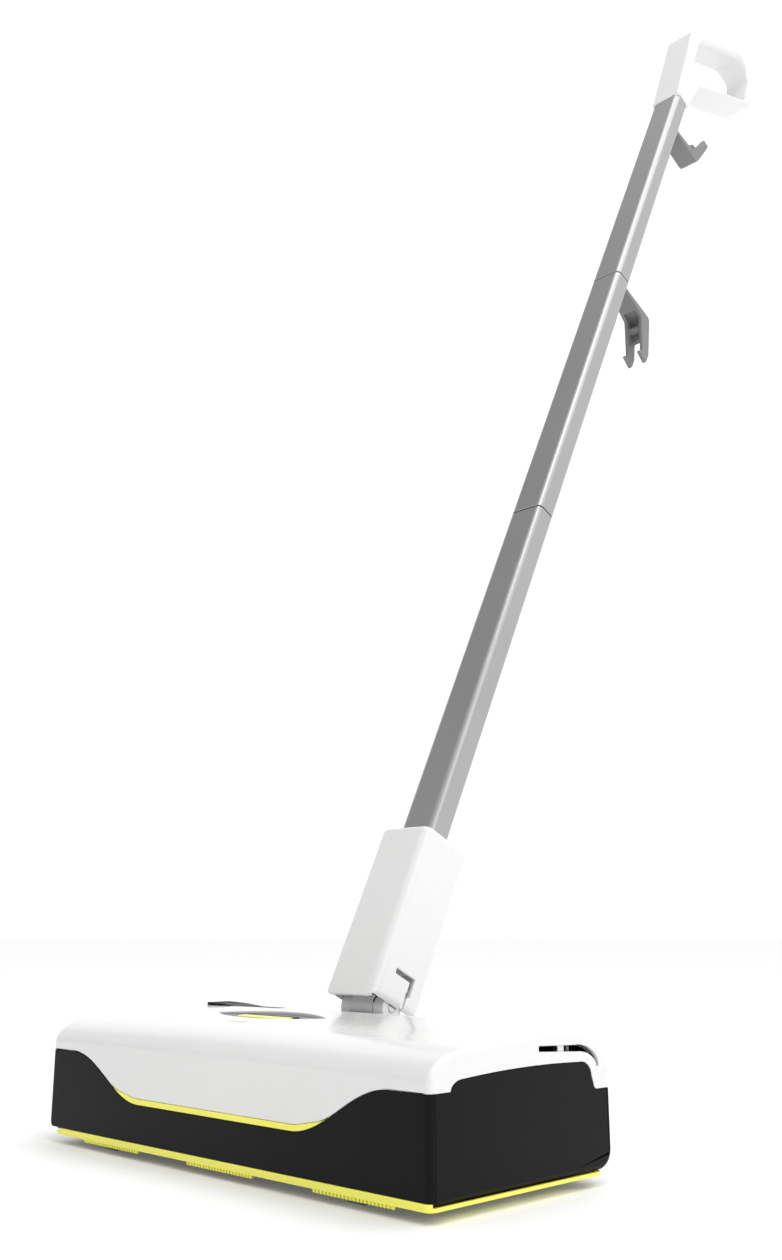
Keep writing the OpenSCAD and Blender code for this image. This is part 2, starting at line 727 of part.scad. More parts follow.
bracket_y = [notch_y + 1.6, 61];
module joint_bracket() {
    color(white) in_place() difference() {
        union() {
            box([-16, bracket_y[0], notch_z], [16, 65.4, notch_z + 2.5]);
            for (y = bracket_y) {
                rod_y(7, y, y + 4, 0, swivel_z);
                box([-7, y, notch_z], [7, y + 4, swivel_z]);
            }
        }
        rod_y(pin_r, notch_y, rear_y, 0, swivel_z);
        for (sx = [-1, 1], y = [50, 58]) rod_z(1.5, notch_z - 1, notch_z + 4, sx * 12.5, y);
    }
}
module bracket_screws() {
    color(steel) in_place() for (sx = [-1, 1], y = [50, 58]) {
        rod_z(1.5, notch_z - 2.4, notch_z + 2.5, sx * 12.5, y);
        rod_z(2.4, notch_z + 2.5, notch_z + 3.6, sx * 12.5, y);
    }
}
module swivel_pin() {
    color(steel) in_place() {
        rod_y(pin_r, bracket_y[0], 66, 0, swivel_z);
        rod_y(4.1, 65, 66.4, 0, swivel_z);
    }
}
lug_r = 7.5;
lug_x = [9.6, 18.3];
module swivel_knuckle() {
    color(white) in_place() difference() {
        union() {
            rod_y(7, bracket_y[0] + 4.2, bracket_y[1] - 0.2, 0, swivel_z);
            box([-lug_x[1], bracket_y[0] + 4.2, swivel_z - 3.5], [lug_x[1], tilt_y + lug_r, swivel_z + 6.6]);
            for (sx = [0, 1]) mirror([sx, 0, 0]) {
                rod_x(lug_r, lug_x[0], lug_x[1], tilt_y, tilt_z);
                box([lug_x[0], tilt_y - lug_r, swivel_z - 3.5], [lug_x[1], tilt_y + lug_r, tilt_z]);
            }
        }
        rod_y(pin_r + fit, notch_y, rear_y, 0, swivel_z);
        rod_x(pin_r, -lug_x[1] - 1, lug_x[1] + 1, tilt_y, tilt_z);
    }
}
module tilt_pin() {
    color(steel) in_place() rod_x(pin_r, -lug_x[1], lug_x[1], tilt_y, tilt_z);
}

// ---------- Handle ----------

module tube_section(i) { translate([0, tube_n]) rounded_rect(tube_w - 2 * i, tube_d - 2 * i, tube_r - i); }
module sleeve_section(i) {
    translate([0, sleeve_n]) rounded_rect(sleeve_w - 2 * i, sleeve_d - 2 * i, sleeve_r - i);
}

module handle_core() {
    color([0.8, 0.8, 0.8]) in_place() on_handle() difference() {
        union() {
            rod_x(8, -9.2, 9.2, 0, 0);
            box([-9.2, -8, 0], [9.2, 8, 32]);
            translate([0, 0, 28]) linear_extrude(sleeve_s1 - 6 - 28) tube_section(-2.4);
            for (s = [28, 96]) translate([0, 0, s]) linear_extrude(3) sleeve_section(sleeve_wall);
        }
        rod_x(pin_r + fit, -10, 10, 0, 0);
        translate([0, 0, tube_s0]) linear_extrude(sleeve_s1) tube_section(-fit);
    }
}
slot_s = 21.4;
slot_n = 4.6;
module sleeve() {
    color(white) in_place() on_handle() difference() {
        intersection() {
            translate([0, 0, sleeve_s0]) linear_extrude(sleeve_s1 - sleeve_s0) sleeve_section(0);
            // rounded lower corners and a domed top, seen from the front
            along_y(-30, 30) union() {
                translate([0, (sleeve_s0 + sleeve_s1) / 2]) rounded_rect(sleeve_w, sleeve_s1 - sleeve_s0, 5);
            }
            rod_x(150, -30, 30, 0, sleeve_s1 - 150);
        }
        translate([0, 0, sleeve_s0 - 1]) linear_extrude(sleeve_s1 - sleeve_s0 - 1.4) sleeve_section(sleeve_wall);
        translate([0, 0, sleeve_s1 - 10]) linear_extrude(20) tube_section(-0.1);
        // the rear wall stops short so that the handle can lie flat
        box([-sleeve_w / 2 + sleeve_wall, 10, sleeve_s0 - 1], [sleeve_w / 2 - sleeve_wall, 30, 14]);
        // L-shaped slot in the right wall
        box([15, -9, slot_s - 3.4], [30, slot_n + 3.4, slot_s]);
        box([15, slot_n, slot_s - 12], [30, slot_n + 3.4, slot_s]);
        box([15, slot_n - 0.4, sleeve_s0 - 1], [30, slot_n + 1.4, slot_s]);
    }
}
module tube(s0, s1) {
    translate([0, 0, s0]) linear_extrude(s1 - s0) difference() {
        tube_section(0);
        tube_section(tube_wall);
    }
}
rim = 0.5;
module lower_tube() { color(grey) in_place() on_handle() tube(tube_s0, seam_1 - rim); }
module middle_tube() {
    color(grey) in_place() on_handle() difference() {
        tube(seam_1 + rim, seam_2 - rim);
        screw_bores(lower_screw_s);
    }
}
module upper_tube() {
    color(grey) in_place() on_handle() difference() {
        tube(seam_2 + rim, collar_s + 24);
        screw_bores(concat(lower_screw_s, upper_screw_s));
    }
}
module tube_connectors() {
    color(black) in_place() on_handle() for (s = [seam_1, seam_2]) {
        difference() {
            translate([0, 0, s - 30]) linear_extrude(60) difference() {
                tube_section(tube_wall + fit);
                tube_section(tube_wall + 1.5);
            }
            screw_bores(lower_screw_s);
        }
        translate([0, 0, s - rim + eps]) linear_extrude(2 * rim - 2 * eps) difference() {
            tube_section(0.3);
            tube_section(tube_wall + 1.5);
        }
    }
}

// ---------- Grip ----------

module spot(c, i) { translate([c[1], c[0]]) circle(r = c[2] + i, $fn = 40); }
module grip_outer(i) {
    hull() { spot(grip_top_rear, i); spot(grip_low_rear, i); spot(grip_top_front, i); spot(grip_low_front, i); }
    hull() {
        spot(grip_top_front, i);
        translate([tube_n, collar_s + 12]) square([tube_d + 1.2 + 2 * i, 24 + 2 * i], center = true);
    }
}
module grip_hole(i) {
    hull() { spot(hole_top_rear, i); spot(hole_low_rear, i); spot(hole_top_front, i); spot(hole_low_front, i); }
}
grip_wall = 1.8;
module grip_shell() {
    color(white) in_place() on_handle() difference() {
        along_x(-grip_w / 2 + grip_wall, grip_w / 2) difference() { grip_outer(0); grip_hole(0); }
        along_x(-grip_w / 2, grip_w / 2 - grip_wall) difference() {
            intersection() {
                grip_outer(-grip_wall);
                translate([-30, collar_s + 27]) square([150, 200]);
            }
            grip_hole(grip_wall);
        }
        translate([0, 0, collar_s - 1]) linear_extrude(25.1) tube_section(-0.1);
    }
}
module grip_cover() {
    color(white) in_place() on_handle() difference() {
        along_x(-grip_w / 2, -grip_w / 2 + grip_wall) difference() { grip_outer(0); grip_hole(0); }
        translate([0, 0, collar_s - 1]) linear_extrude(25.1) tube_section(-0.1);
    }
}

// ---------- Cord hooks ----------

hook_w = 18.4;
fork_gap = 11.6;
upper_hook_s = collar_s - 53;
lower_hook_s = seam_2 - 18;
hook_n = tube_n + tube_d / 2;
plate_t = 2.4;
upper_screw_s = [upper_hook_s - 8, upper_hook_s + 9];
lower_screw_s = [seam_2 - 10, seam_2 + 10];
screw_head_n = hook_n + plate_t;
upper_boss = [35.5, upper_hook_s + 29.5];
lower_boss = [44.8, lower_hook_s + 6.4];
module screw_bores(spots) {
    for (s = spots) {
        rod_y(1.5, 0, 60, 0, s);
        rod_y(3.2, screw_head_n, 90, 0, s);
    }
}
// A forked hook: the first shape across its whole width, less the second between the prongs
module hook_body(spots) {
    difference() {
        along_x(-hook_w / 2, hook_w / 2) children(0);
        along_x(-fork_gap / 2, fork_gap / 2) children(1);
        screw_bores(spots);
    }
}
module upper_hook() {
    s = upper_hook_s;
    color(grey) in_place() on_handle() hook_body(upper_screw_s) {
        difference() {
            union() {
                translate([hook_n, s - 14]) square([plate_t, 38]);
                polygon([[hook_n, s + 17.7], [44, s + 17.7], [47.5, s + 20.5], [56, s + 57.7], [47, s + 58],
                         [41, s + 38], [38, s + 34], [29.5, s + 25], [hook_n, s + 20.7]]);
                translate(upper_boss) circle(r = 3.2);
            }
            translate(upper_boss) circle(r = 1.3);
        }
        translate([30, s + 34]) square([40, 40]);
    }
}
module lower_hook() {
    s = lower_hook_s;
    color(grey) in_place() on_handle() {
        hook_body(lower_screw_s) {
            union() {
                translate([hook_n, s + 2]) square([plate_t, 34]);
                polygon([[hook_n, s + 20], [46, s + 20.3], [48.5, s + 17], [59.7, s - 15.7], [58.6, s - 26.7],
                         [46.5, s - 23], [50.3, s - 18], [36, s + 11.7], [26, s + 15.2], [hook_n, s + 16]]);
            }
            polygon([[30, s + 16.2], [43, s + 16.2], [50.5, s - 1], [70, s - 1], [70, s - 40], [30, s - 40]]);
        }
        rod_x(3.6, -fork_gap / 2 - eps, fork_gap / 2 + eps, lower_boss[0], lower_boss[1]);
    }
}
module hook_screws() {
    color(steel) in_place() on_handle() for (s = concat(upper_screw_s, lower_screw_s)) {
        rod_y(1.5, hook_n - 4, screw_head_n + 1, 0, s);
        rod_y(3, screw_head_n, screw_head_n + 2, 0, s);
    }
}

lower_housing();
left_end_cap();
top_cover();
lip_strip();
base_strip();
roller_hood();
badge_plate();
badge_inlay();
led_window();
circuit_board();
rocker_switch_body();
foot_pedal();
pedal_pin();
charging_socket();
battery_cells();
battery_cradle();
motor();
motor_brackets();
motor_pinion();
idler_gear();
idler_pin();
roller_gear();
gear_cover();
roller_core();
bristle_strips();
roller_axle();
roller_bushes();
dirt_flap();
bin_tray();
bin_end_panel();
bin_release();
release_spring();
rear_wheel_left();
rear_wheel_right();
rear_tyre_left();
rear_tyre_right();
front_wheel_left();
front_wheel_right();
wheel_pins();
housing_screws();
joint_bracket();
bracket_screws();
swivel_pin();
swivel_knuckle();
tilt_pin();
handle_core();
sleeve();
lower_tube();
middle_tube();
upper_tube();
tube_connectors();
grip_shell();
grip_cover();
upper_hook();
lower_hook();
hook_screws();
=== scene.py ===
import itertools
import json
import math
import bmesh
import bpy
from mathutils import Matrix, Vector


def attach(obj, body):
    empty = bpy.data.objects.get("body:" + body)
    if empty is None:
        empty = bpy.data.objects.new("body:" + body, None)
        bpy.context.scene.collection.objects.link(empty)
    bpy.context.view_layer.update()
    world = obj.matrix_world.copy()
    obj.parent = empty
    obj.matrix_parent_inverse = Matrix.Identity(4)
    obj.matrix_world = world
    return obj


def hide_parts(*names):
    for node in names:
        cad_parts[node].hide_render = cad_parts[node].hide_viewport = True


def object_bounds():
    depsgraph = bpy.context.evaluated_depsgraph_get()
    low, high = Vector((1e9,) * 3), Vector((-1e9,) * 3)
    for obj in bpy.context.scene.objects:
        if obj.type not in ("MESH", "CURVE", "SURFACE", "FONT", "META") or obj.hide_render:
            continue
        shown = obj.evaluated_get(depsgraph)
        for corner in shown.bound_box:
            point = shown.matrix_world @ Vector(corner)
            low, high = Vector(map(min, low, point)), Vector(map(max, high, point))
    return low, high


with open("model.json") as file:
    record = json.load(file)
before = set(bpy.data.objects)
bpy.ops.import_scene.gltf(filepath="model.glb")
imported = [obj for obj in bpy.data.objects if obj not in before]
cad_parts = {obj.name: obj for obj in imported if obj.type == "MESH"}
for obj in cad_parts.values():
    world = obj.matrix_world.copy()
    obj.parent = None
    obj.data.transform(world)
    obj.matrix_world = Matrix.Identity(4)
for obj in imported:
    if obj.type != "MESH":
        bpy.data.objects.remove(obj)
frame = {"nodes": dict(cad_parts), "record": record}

# Carpet sweeper: the visible pieces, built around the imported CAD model.
cad_lo, cad_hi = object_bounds()

# ---------------------------------------------------------------- frames
# Head shapes are drawn in mm with the head's plan centre at X = Y = 0 and the
# floor at Z = 0. Handle shapes are drawn as (X, towards rear, along handle)
# with their origin on the tilt pin.
MM = 0.001
HEAD_Y = 68.0                       # the head's middle, behind the front of the CAD box
LEAN = math.radians(26.2)           # the handle's lean to the rear, at rest
TILT_Y, TILT_Z = 50.6, 79.8         # the tilt pin, along X
SWIVEL_Z = 64                       # the swivel pin, along Y
TO_ROW = Matrix.Translation((0, cad_lo.y + HEAD_Y * MM, 0)) @ Matrix.Scale(MM, 4)
TO_HANDLE = TO_ROW @ Matrix.Translation((0, TILT_Y, TILT_Z)) @ Matrix.Rotation(-LEAN, 4, "X")


# ---------------------------------------------------------------- outlines
def circle(u, v, r, n):
    return [(u + r * math.cos(t), v + r * math.sin(t)) for t in (2 * math.pi * k / n for k in range(n))]


def arc(cx, cy, rx, ry, a0, a1, n):
    """n + 1 points of an ellipse from angle a0 to a1, in degrees."""
    return [(cx + rx * math.cos(math.radians(a0 + (a1 - a0) * k / n)),
             cy + ry * math.sin(math.radians(a0 + (a1 - a0) * k / n))) for k in range(n + 1)]


def rounded_rect(w, d, r, cx=0.0, cy=0.0, n=8):
    """A w by d rectangle about (cx, cy) with corners of radius r."""
    out = []
    for sx, sy, a in ((1, 1, 0), (-1, 1, 90), (-1, -1, 180), (1, -1, 270)):
        out += arc(cx + sx * (w / 2 - r), cy + sy * (d / 2 - r), r, r, a, a + 90, n)
    return out


def pointed_oval(a, b, cx, cy, n=40):
    """Two arcs that meet in points at cx - a and cx + a, b high on each side."""
    r = (a * a + b * b) / (2 * b)
    half = math.degrees(math.asin(a / r))
    return (arc(cx, cy - (r - b), r, r, 90 - half, 90 + half, n)
            + arc(cx, cy + (r - b), r, r, 270 - half, 270 + half, n)[1:-1])


def hull_outline(circles, grow=0.0, n=160):
    """Outline of the convex hull of circles (u, v, r), as evenly spaced points."""
    circles = [(u, v, max(0.5, r + grow)) for u, v, r in circles]
    dense = []
    for k in range(1440):
        t = 2 * math.pi * k / 1440
        c, s = math.cos(t), math.sin(t)
        u, v, r = max(circles, key=lambda q: q[0] * c + q[1] * s + q[2])
        dense.append((u + r * c, v + r * s))
    length = [0.0]
    for a, b in zip(dense, dense[1:] + dense[:1]):
        length.append(length[-1] + math.dist(a, b))
    out, j = [], 0
    for k in range(n):
        want = length[-1] * k / n
        while length[j + 1] < want:
            j += 1
        a, b = dense[j], dense[(j + 1) % len(dense)]
        f = (want - length[j]) / max(length[j + 1] - length[j], 1e-9)
        out.append((a[0] + (b[0] - a[0]) * f, a[1] + (b[1] - a[1]) * f))
    return out


# ---------------------------------------------------------------- solids
def new_object(name, bm):
    """Links a bmesh as an object, with its normals turned outwards."""
    mesh = bpy.data.meshes.new(name)
    bmesh.ops.recalc_face_normals(bm, faces=bm.faces)
    bm.to_mesh(mesh)
    bm.free()
    obj = bpy.data.objects.new(name, mesh)
    bpy.context.scene.collection.objects.link(obj)
    return obj


def web(bm, rings, closed=False):
    """Adds a skin through rings of the same number of points. Open ends are capped."""
    rows = [[bm.verts.new(p) for p in ring] for ring in rings]
    n = len(rows[0])
    for a, b in list(zip(rows, rows[1:])) + ([(rows[-1], rows[0])] if closed else []):
        for k in range(n):
            bm.faces.new((a[k], a[(k + 1) % n], b[(k + 1) % n], b[k]))
    if not closed:
        bm.faces.new(rows[0])
        bm.faces.new(rows[-1])


def stack(rings, closed=False):
    """A closed skin through rings of points, as an object."""
    bm = bmesh.new()
    web(bm, rings, closed)
    return new_object("part", bm)


def prism_x(outline, x0, x1):
    return stack([[(x, y, z) for y, z in outline] for x in (x0, x1)])


def prism_y(outline, y0, y1):
    return stack([[(x, y, z) for x, z in outline] for y in (y0, y1)])


def prism_z(outline, z0, z1):
    return stack([[(x, y, z) for x, y in outline] for z in (z0, z1)])


def block(lo, hi):
    return prism_z([(lo[0], lo[1]), (hi[0], lo[1]), (hi[0], hi[1]), (lo[0], hi[1])], lo[2], hi[2])


def rod(axis, r, a, b, u, v, sides=48):
    """A round bar along an axis from a to b, about (u, v) in the other two."""
    return {"X": prism_x, "Y": prism_y, "Z": prism_z}[axis](circle(u, v, r, sides), a, b)


def lathe(profile, u, v, axis="X", sides=56, closed=False):
    """Turns a profile of (along, radius) points about an axis through (u, v)."""
    rings = []
    for a, r in profile:
        rings.append([{"X": (a, p, q), "Y": (p, a, q), "Z": (p, q, a)}[axis]
                      for p, q in circle(u, v, r, sides)])
    return stack(rings, closed)


def pin(axis, r, a, b, u, v, chamfer=0.5):
    s = chamfer if b > a else -chamfer
    return lathe([(a, r - chamfer), (a + s, r), (b - s, r), (b, r - chamfer)], u, v, axis)


# ---------------------------------------------------------------- mesh tools
WELD = 0.03                         # mm within which points become one
SHARP = 38                          # degrees over which an edge stays sharp


def settle(obj):
    """Replaces an object's mesh with the result of its modifiers."""
    graph = bpy.context.evaluated_depsgraph_get()
    mesh = bpy.data.meshes.new_from_object(obj.evaluated_get(graph))
    obj.modifiers.clear()
    obj.data = mesh
    return obj


def combine(obj, others, operation):
    """Applies the other objects to this one in turn, and uses them up."""
    for other in others:
        mod = obj.modifiers.new("cut", "BOOLEAN")
        mod.operation = operation
        mod.solver = "EXACT"
        mod.object = other
        bpy.context.view_layer.update()
        settle(obj)
        bpy.data.objects.remove(other)
    return obj


def cut(obj, *others):
    return combine(obj, others, "DIFFERENCE")


def join(obj, *others):
    return combine(obj, others, "UNION")


def keep(obj, *others):
    return combine(obj, others, "INTERSECT")


def bundle(objs):
    """Several separate meshes as one object."""
    bm = bmesh.new()
    for obj in objs:
        bm.from_mesh(obj.data)
        bpy.data.objects.remove(obj)
    return new_object("bundle", bm)


def clean(obj):
    """Welds the slivers that a cut leaves."""
    bm = bmesh.new()
    bm.from_mesh(obj.data)
    bmesh.ops.remove_doubles(bm, verts=bm.verts, dist=WELD)
    bmesh.ops.dissolve_degenerate(bm, edges=bm.edges, dist=WELD)
    bm.to_mesh(obj.data)
    bm.free()
    return obj


def smooth(obj, angle=SHARP):
    """Shades a mesh smooth, apart from edges sharper than the angle."""
    obj.data.shade_smooth()
    obj.data.set_sharp_from_angle(angle=math.radians(angle))
    mod = obj.modifiers.new("normals", "WEIGHTED_NORMAL")
    mod.keep_sharp = True
    mod.weight = 60
    return obj


def soften(obj, width, segments, angle=SHARP):
    """Rounds the sharp edges, and shades the rest smooth."""
    clean(obj)
    mod = obj.modifiers.new("bevel", "BEVEL")
    mod.width = width
    mod.use_clamp_overlap = False
    mod.loop_slide = True
    mod.segments = segments
    mod.limit_method = "ANGLE"
    mod.angle_limit = math.radians(angle)
    mod.miter_outer = "MITER_ARC"
    bpy.context.view_layer.update()
    settle(obj)
    return smooth(obj)


def give(obj, name, body, slot, matrix=TO_ROW, nodes=()):
    """Names a finished piece, puts it in place, and ties it to its body and slot."""
    obj.name = name
    obj.data.transform(matrix)
    obj.data.materials.clear()
    obj.data.materials.append(MATERIALS[slot])
    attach(obj, body)
    if nodes:
        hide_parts(*nodes)
    return obj


def screws(spots, shank, head, tip, seat, top):
    """Cross-headed screws along Z at each (x, y), with the heads between seat and top."""
    s = 1 if top > seat else -1
    made = []
    for x, y in spots:
        body = lathe([(tip, 0.3), (tip + s * 2, shank), (seat, shank), (seat, head), (top - s * 0.45, head),
                      (top - s * 0.12, head - 0.35), (top, head - 0.9)], x, y, "Z", 32)
        z = sorted((top - s * 0.8, top + s))
        for w, d in ((head * 0.55, 0.35), (0.35, head * 0.55)):
            cut(body, block((x - w, y - d, z[0]), (x + w, y + d, z[1])))
        made.append(body)
    return bundle(made)


# ---------------------------------------------------------------- materials
def noise(tree, scale, detail, stretch=None):
    """Noise in the object's own space. stretch is (rotation, scale) of its coordinates."""
    coords = tree.nodes.new("ShaderNodeTexCoord")
    tex = tree.nodes.new("ShaderNodeTexNoise")
    tex.inputs["Scale"].default_value = scale
    tex.inputs["Detail"].default_value = detail
    source = coords.outputs["Object"]
    if stretch:
        mapping = tree.nodes.new("ShaderNodeMapping")
        mapping.inputs["Rotation"].default_value = stretch[0]
        mapping.inputs["Scale"].default_value = stretch[1]
        tree.links.new(source, mapping.inputs["Vector"])
        source = mapping.outputs["Vector"]
    tree.links.new(source, tex.inputs["Vector"])
    return tex.outputs["Fac"]


def ranged(tree, value, low, high, start=0.35, end=0.65):
    """Maps a value from start..end to low..high."""
    node = tree.nodes.new("ShaderNodeMapRange")
    node.inputs["From Min"].default_value = start
    node.inputs["From Max"].default_value = end
    node.inputs["To Min"].default_value = low
    node.inputs["To Max"].default_value = high
    tree.links.new(value, node.inputs["Value"])
    return node.outputs["Result"]


def shaded(tree, value, dark, light):
    """Maps a value to a colour between dark and light."""
    ramp = tree.nodes.new("ShaderNodeValToRGB")
    ramp.color_ramp.elements[0].position = 0.3
    ramp.color_ramp.elements[1].position = 0.7
    ramp.color_ramp.elements[0].color = (*dark, 1)
    ramp.color_ramp.elements[1].color = (*light, 1)
    tree.links.new(value, ramp.inputs["Fac"])
    return ramp.outputs["Color"]


def bumped(tree, shader, value, strength, distance):
    bump = tree.nodes.new("ShaderNodeBump")
    bump.inputs["Strength"].default_value = strength
    bump.inputs["Distance"].default_value = distance
    tree.links.new(value, bump.inputs["Height"])
    tree.links.new(bump.outputs["Normal"], shader.inputs["Normal"])


def material(name, colour, rough, metal=0.0, vary=0.04, grain=900.0, bump=0.08, depth=0.00002,
             stretch=None, coat=0.0, spread=0.05, gloss=0.5):
    """A surface whose colour and roughness drift a little, over a fine moulded or brushed grain."""
    mat = bpy.data.materials.new(name)
    mat.use_nodes = True
    tree = mat.node_tree
    shader = tree.nodes["Principled BSDF"]
    shader.inputs["Metallic"].default_value = metal
    shader.inputs["IOR"].default_value = 1.5
    shader.inputs["Specular IOR Level"].default_value = gloss
    shader.inputs["Coat Weight"].default_value = coat
    shader.inputs["Coat Roughness"].default_value = 0.06
    broad = noise(tree, 9.0, 2.0)
    dark = [c * (1 - vary) for c in colour]
    light = [min(1, c * (1 + vary)) for c in colour]
    tree.links.new(shaded(tree, broad, dark, light), shader.inputs["Base Color"])
    fine = noise(tree, grain, 4.0, stretch)
    tree.links.new(ranged(tree, fine, rough - spread, rough + spread), shader.inputs["Roughness"])
    bumped(tree, shader, fine, bump, depth)
    return mat


ALONG_HANDLE = ((-LEAN, 0, 0), (1, 1, 0.02))
ALONG_MOTOR = ((0, 0, 0), (0.03, 1, 1))
MATERIALS = {
    "white_plastic": material("white_gloss_plastic", (0.79, 0.79, 0.785), 0.22, vary=0.012, grain=260,
                              bump=0.05, coat=0.35, spread=0.03),
    "black_plastic": material("black_satin_plastic", (0.0045, 0.0045, 0.005), 0.42, vary=0.15, grain=2600,
                              bump=0.25, depth=0.00004, gloss=0.11),
    "yellow_plastic": material("yellow_plastic", (0.96, 0.93, 0.13), 0.34, vary=0.03, grain=900, bump=0.08),
    "grey_plastic": material("grey_matte_plastic", (0.20, 0.20, 0.205), 0.5, vary=0.05, grain=2400,
                             bump=0.25, depth=0.00004),
    "bin_plastic": material("smoked_bin_plastic", (0.07, 0.07, 0.075), 0.25, vary=0.08, grain=700, bump=0.06),
    "green_lens": material("green_lens", (0.30, 0.72, 0.26), 0.18, vary=0.08, grain=500, bump=0.04, coat=0.4),
    "board": material("board_lacquer", (0.02, 0.16, 0.07), 0.35, vary=0.2, grain=300, bump=0.15),
    "tube_metal": material("anodised_tube", (0.42, 0.42, 0.425), 0.36, metal=0.9, vary=0.03, grain=1400,
                           bump=0.12, stretch=ALONG_HANDLE, spread=0.06),
    "steel": material("bright_steel", (0.58, 0.58, 0.59), 0.28, metal=1.0, vary=0.04, grain=1200, bump=0.1),
    "motor_can": material("drawn_steel_can", (0.50, 0.50, 0.51), 0.34, metal=1.0, vary=0.06, grain=800,
                          bump=0.12, stretch=ALONG_MOTOR),
    "brass": material("turned_brass", (0.72, 0.50, 0.20), 0.3, metal=1.0, vary=0.05, grain=1200, bump=0.1),
    "cell": material("shrink_sleeve", (0.05, 0.16, 0.42), 0.3, vary=0.06, grain=400, bump=0.1, coat=0.2),
    "bristle": material("nylon_bristle", (0.72, 0.68, 0.12), 0.55, vary=0.14, grain=3000, bump=0.3,
                        depth=0.00006),
    "tyre": material("soft_rubber", (0.025, 0.025, 0.025), 0.72, vary=0.2, grain=1800, bump=0.4,
                     depth=0.00008),
}
slot_of = {s["node"]: s["material_slot"] for s in frame["record"]["subparts"]}
for node_name, node_object in frame["nodes"].items():
    for place in node_object.material_slots:
        place.material = MATERIALS[slot_of[node_name]]

# ---------------------------------------------------------------- camera
CAMERA_PLACE = (548.9, -481.2, 121.8)
YAW, PITCH = 0.78505, 0.24601       # radians to the left of +Y, and above level
forward = Vector((-math.sin(YAW) * math.cos(PITCH), math.cos(YAW) * math.cos(PITCH), math.sin(PITCH)))
right = Vector((math.cos(YAW), math.sin(YAW), 0))
up = right.cross(forward)
camera_data = bpy.data.cameras.new("camera")
camera_data.sensor_fit = "VERTICAL"
camera_data.sensor_height = 36
camera_data.lens = 34.69
camera_data.clip_start = 0.01
camera = bpy.data.objects.new("camera", camera_data)
facing = Matrix((right, up, -forward)).transposed().to_4x4()
camera.matrix_world = Matrix.Translation(TO_ROW @ Vector(CAMERA_PLACE)) @ facing
bpy.context.scene.collection.objects.link(camera)
bpy.context.scene.camera = camera

# ---------------------------------------------------------------- floor and light
floor_mesh = bmesh.new()
bmesh.ops.create_grid(floor_mesh, x_segments=1, y_segments=1, size=60)
floor = new_object("floor", floor_mesh)
floor.data.materials.append(material("studio_floor", (0.93, 0.93, 0.93), 0.7, vary=0.006, grain=80,
                                     bump=0.02))
floor_shader = floor.data.materials[0].node_tree.nodes["Principled BSDF"]
floor_shader.inputs["Emission Color"].default_value = (1, 1, 1, 1)
floor_shader.inputs["Emission Strength"].default_value = 0.1

# A white room. In each row the strength runs from low to high while the cosine of the
# angle to the direction runs from start to end, and the two strengths are multiplied.
ROOM = (((0, 0.85, 0.53), 0.56, 1.12, -0.4, 0.35),        # dimmer in front of the object
        ((-0.6, -0.15, 0.785), 1, 0.4, 0.88, 0.97))       # a darker patch high on the left
world = bpy.data.worlds.new("studio")
world.use_nodes = True
sky = world.node_tree
towards = sky.nodes.new("ShaderNodeTexCoord")
product = sky.nodes.new("ShaderNodeMath")
product.operation = "MULTIPLY"
for place, (direction, low, high, start, end) in enumerate(ROOM):
    cosine = sky.nodes.new("ShaderNodeVectorMath")
    cosine.operation = "DOT_PRODUCT"
    cosine.inputs[1].default_value = direction
    sky.links.new(towards.outputs["Generated"], cosine.inputs[0])
    sky.links.new(ranged(sky, cosine.outputs["Value"], low, high, start, end), product.inputs[place])
sky.links.new(product.outputs["Value"], sky.nodes["Background"].inputs["Strength"])
sky.nodes["Background"].inputs["Color"].default_value = (1, 1, 1, 1)
bpy.context.scene.world = world
bpy.context.scene.view_settings.view_transform = "Standard"


def softbox(name, place, target, size, power):
    """A rectangular light at a place, turned towards a target, both in metres."""
    data = bpy.data.lights.new(name, "AREA")
    data.shape = "RECTANGLE"
    data.size, data.size_y = size
    data.energy = power
    obj = bpy.data.objects.new(name, data)
    obj.location = place
    obj.rotation_euler = (Vector(target) - Vector(place)).to_track_quat("-Z", "Y").to_euler()
    bpy.context.scene.collection.objects.link(obj)


softbox("overhead", (0.75, 0.3, 2.8), (0.3, 0, 0.2), (1.8, 2.2), 16)
softbox("key_right", (1.9, -0.9, 1.3), (0, -0.1, 0.4), (0.9, 1.8), 6)
softbox("ridge", (0.75, -0.75, 2.4), (0, 0, 0.6), (0.5, 0.5), 5)

# ---------------------------------------------------------------- head outlines
HALF_W, FRONT, REAR, BASE, TOP = 160.0, -68.0, 68.0, 7.2, 78.0
WALL = 2.6
CROWN = 1.8                                 # how much lower the top is at its ends
TUCKS = ((1, 3), (-1, 10))                  # how far the foot is tucked in, right and left
END_Y = 64.6                                # half the length of the end panels' openings
BULK_L, BULK_R = -134.0, 141.0              # left faces of the two bulkheads
ROLLER_Y, ROLLER_Z = -6.0, 27.2
REAR_X, REAR_Y, REAR_R = 112, 55, 10        # rear wheels: from the middle, behind it, radius
FRONT_X, FRONT_Y, FRONT_R = 104, -57, 6
BADGE_X, BADGE_Y = -33, 0
LED_X, LED_Y = -25, -31
PEDAL_X, PEDAL_Y = -94, 36
SOCKET_Y, SOCKET_Z = 42, 33
SCREWS = [(-129.5, -59), (138, -57), (-144, 24), (147.4, 4)]


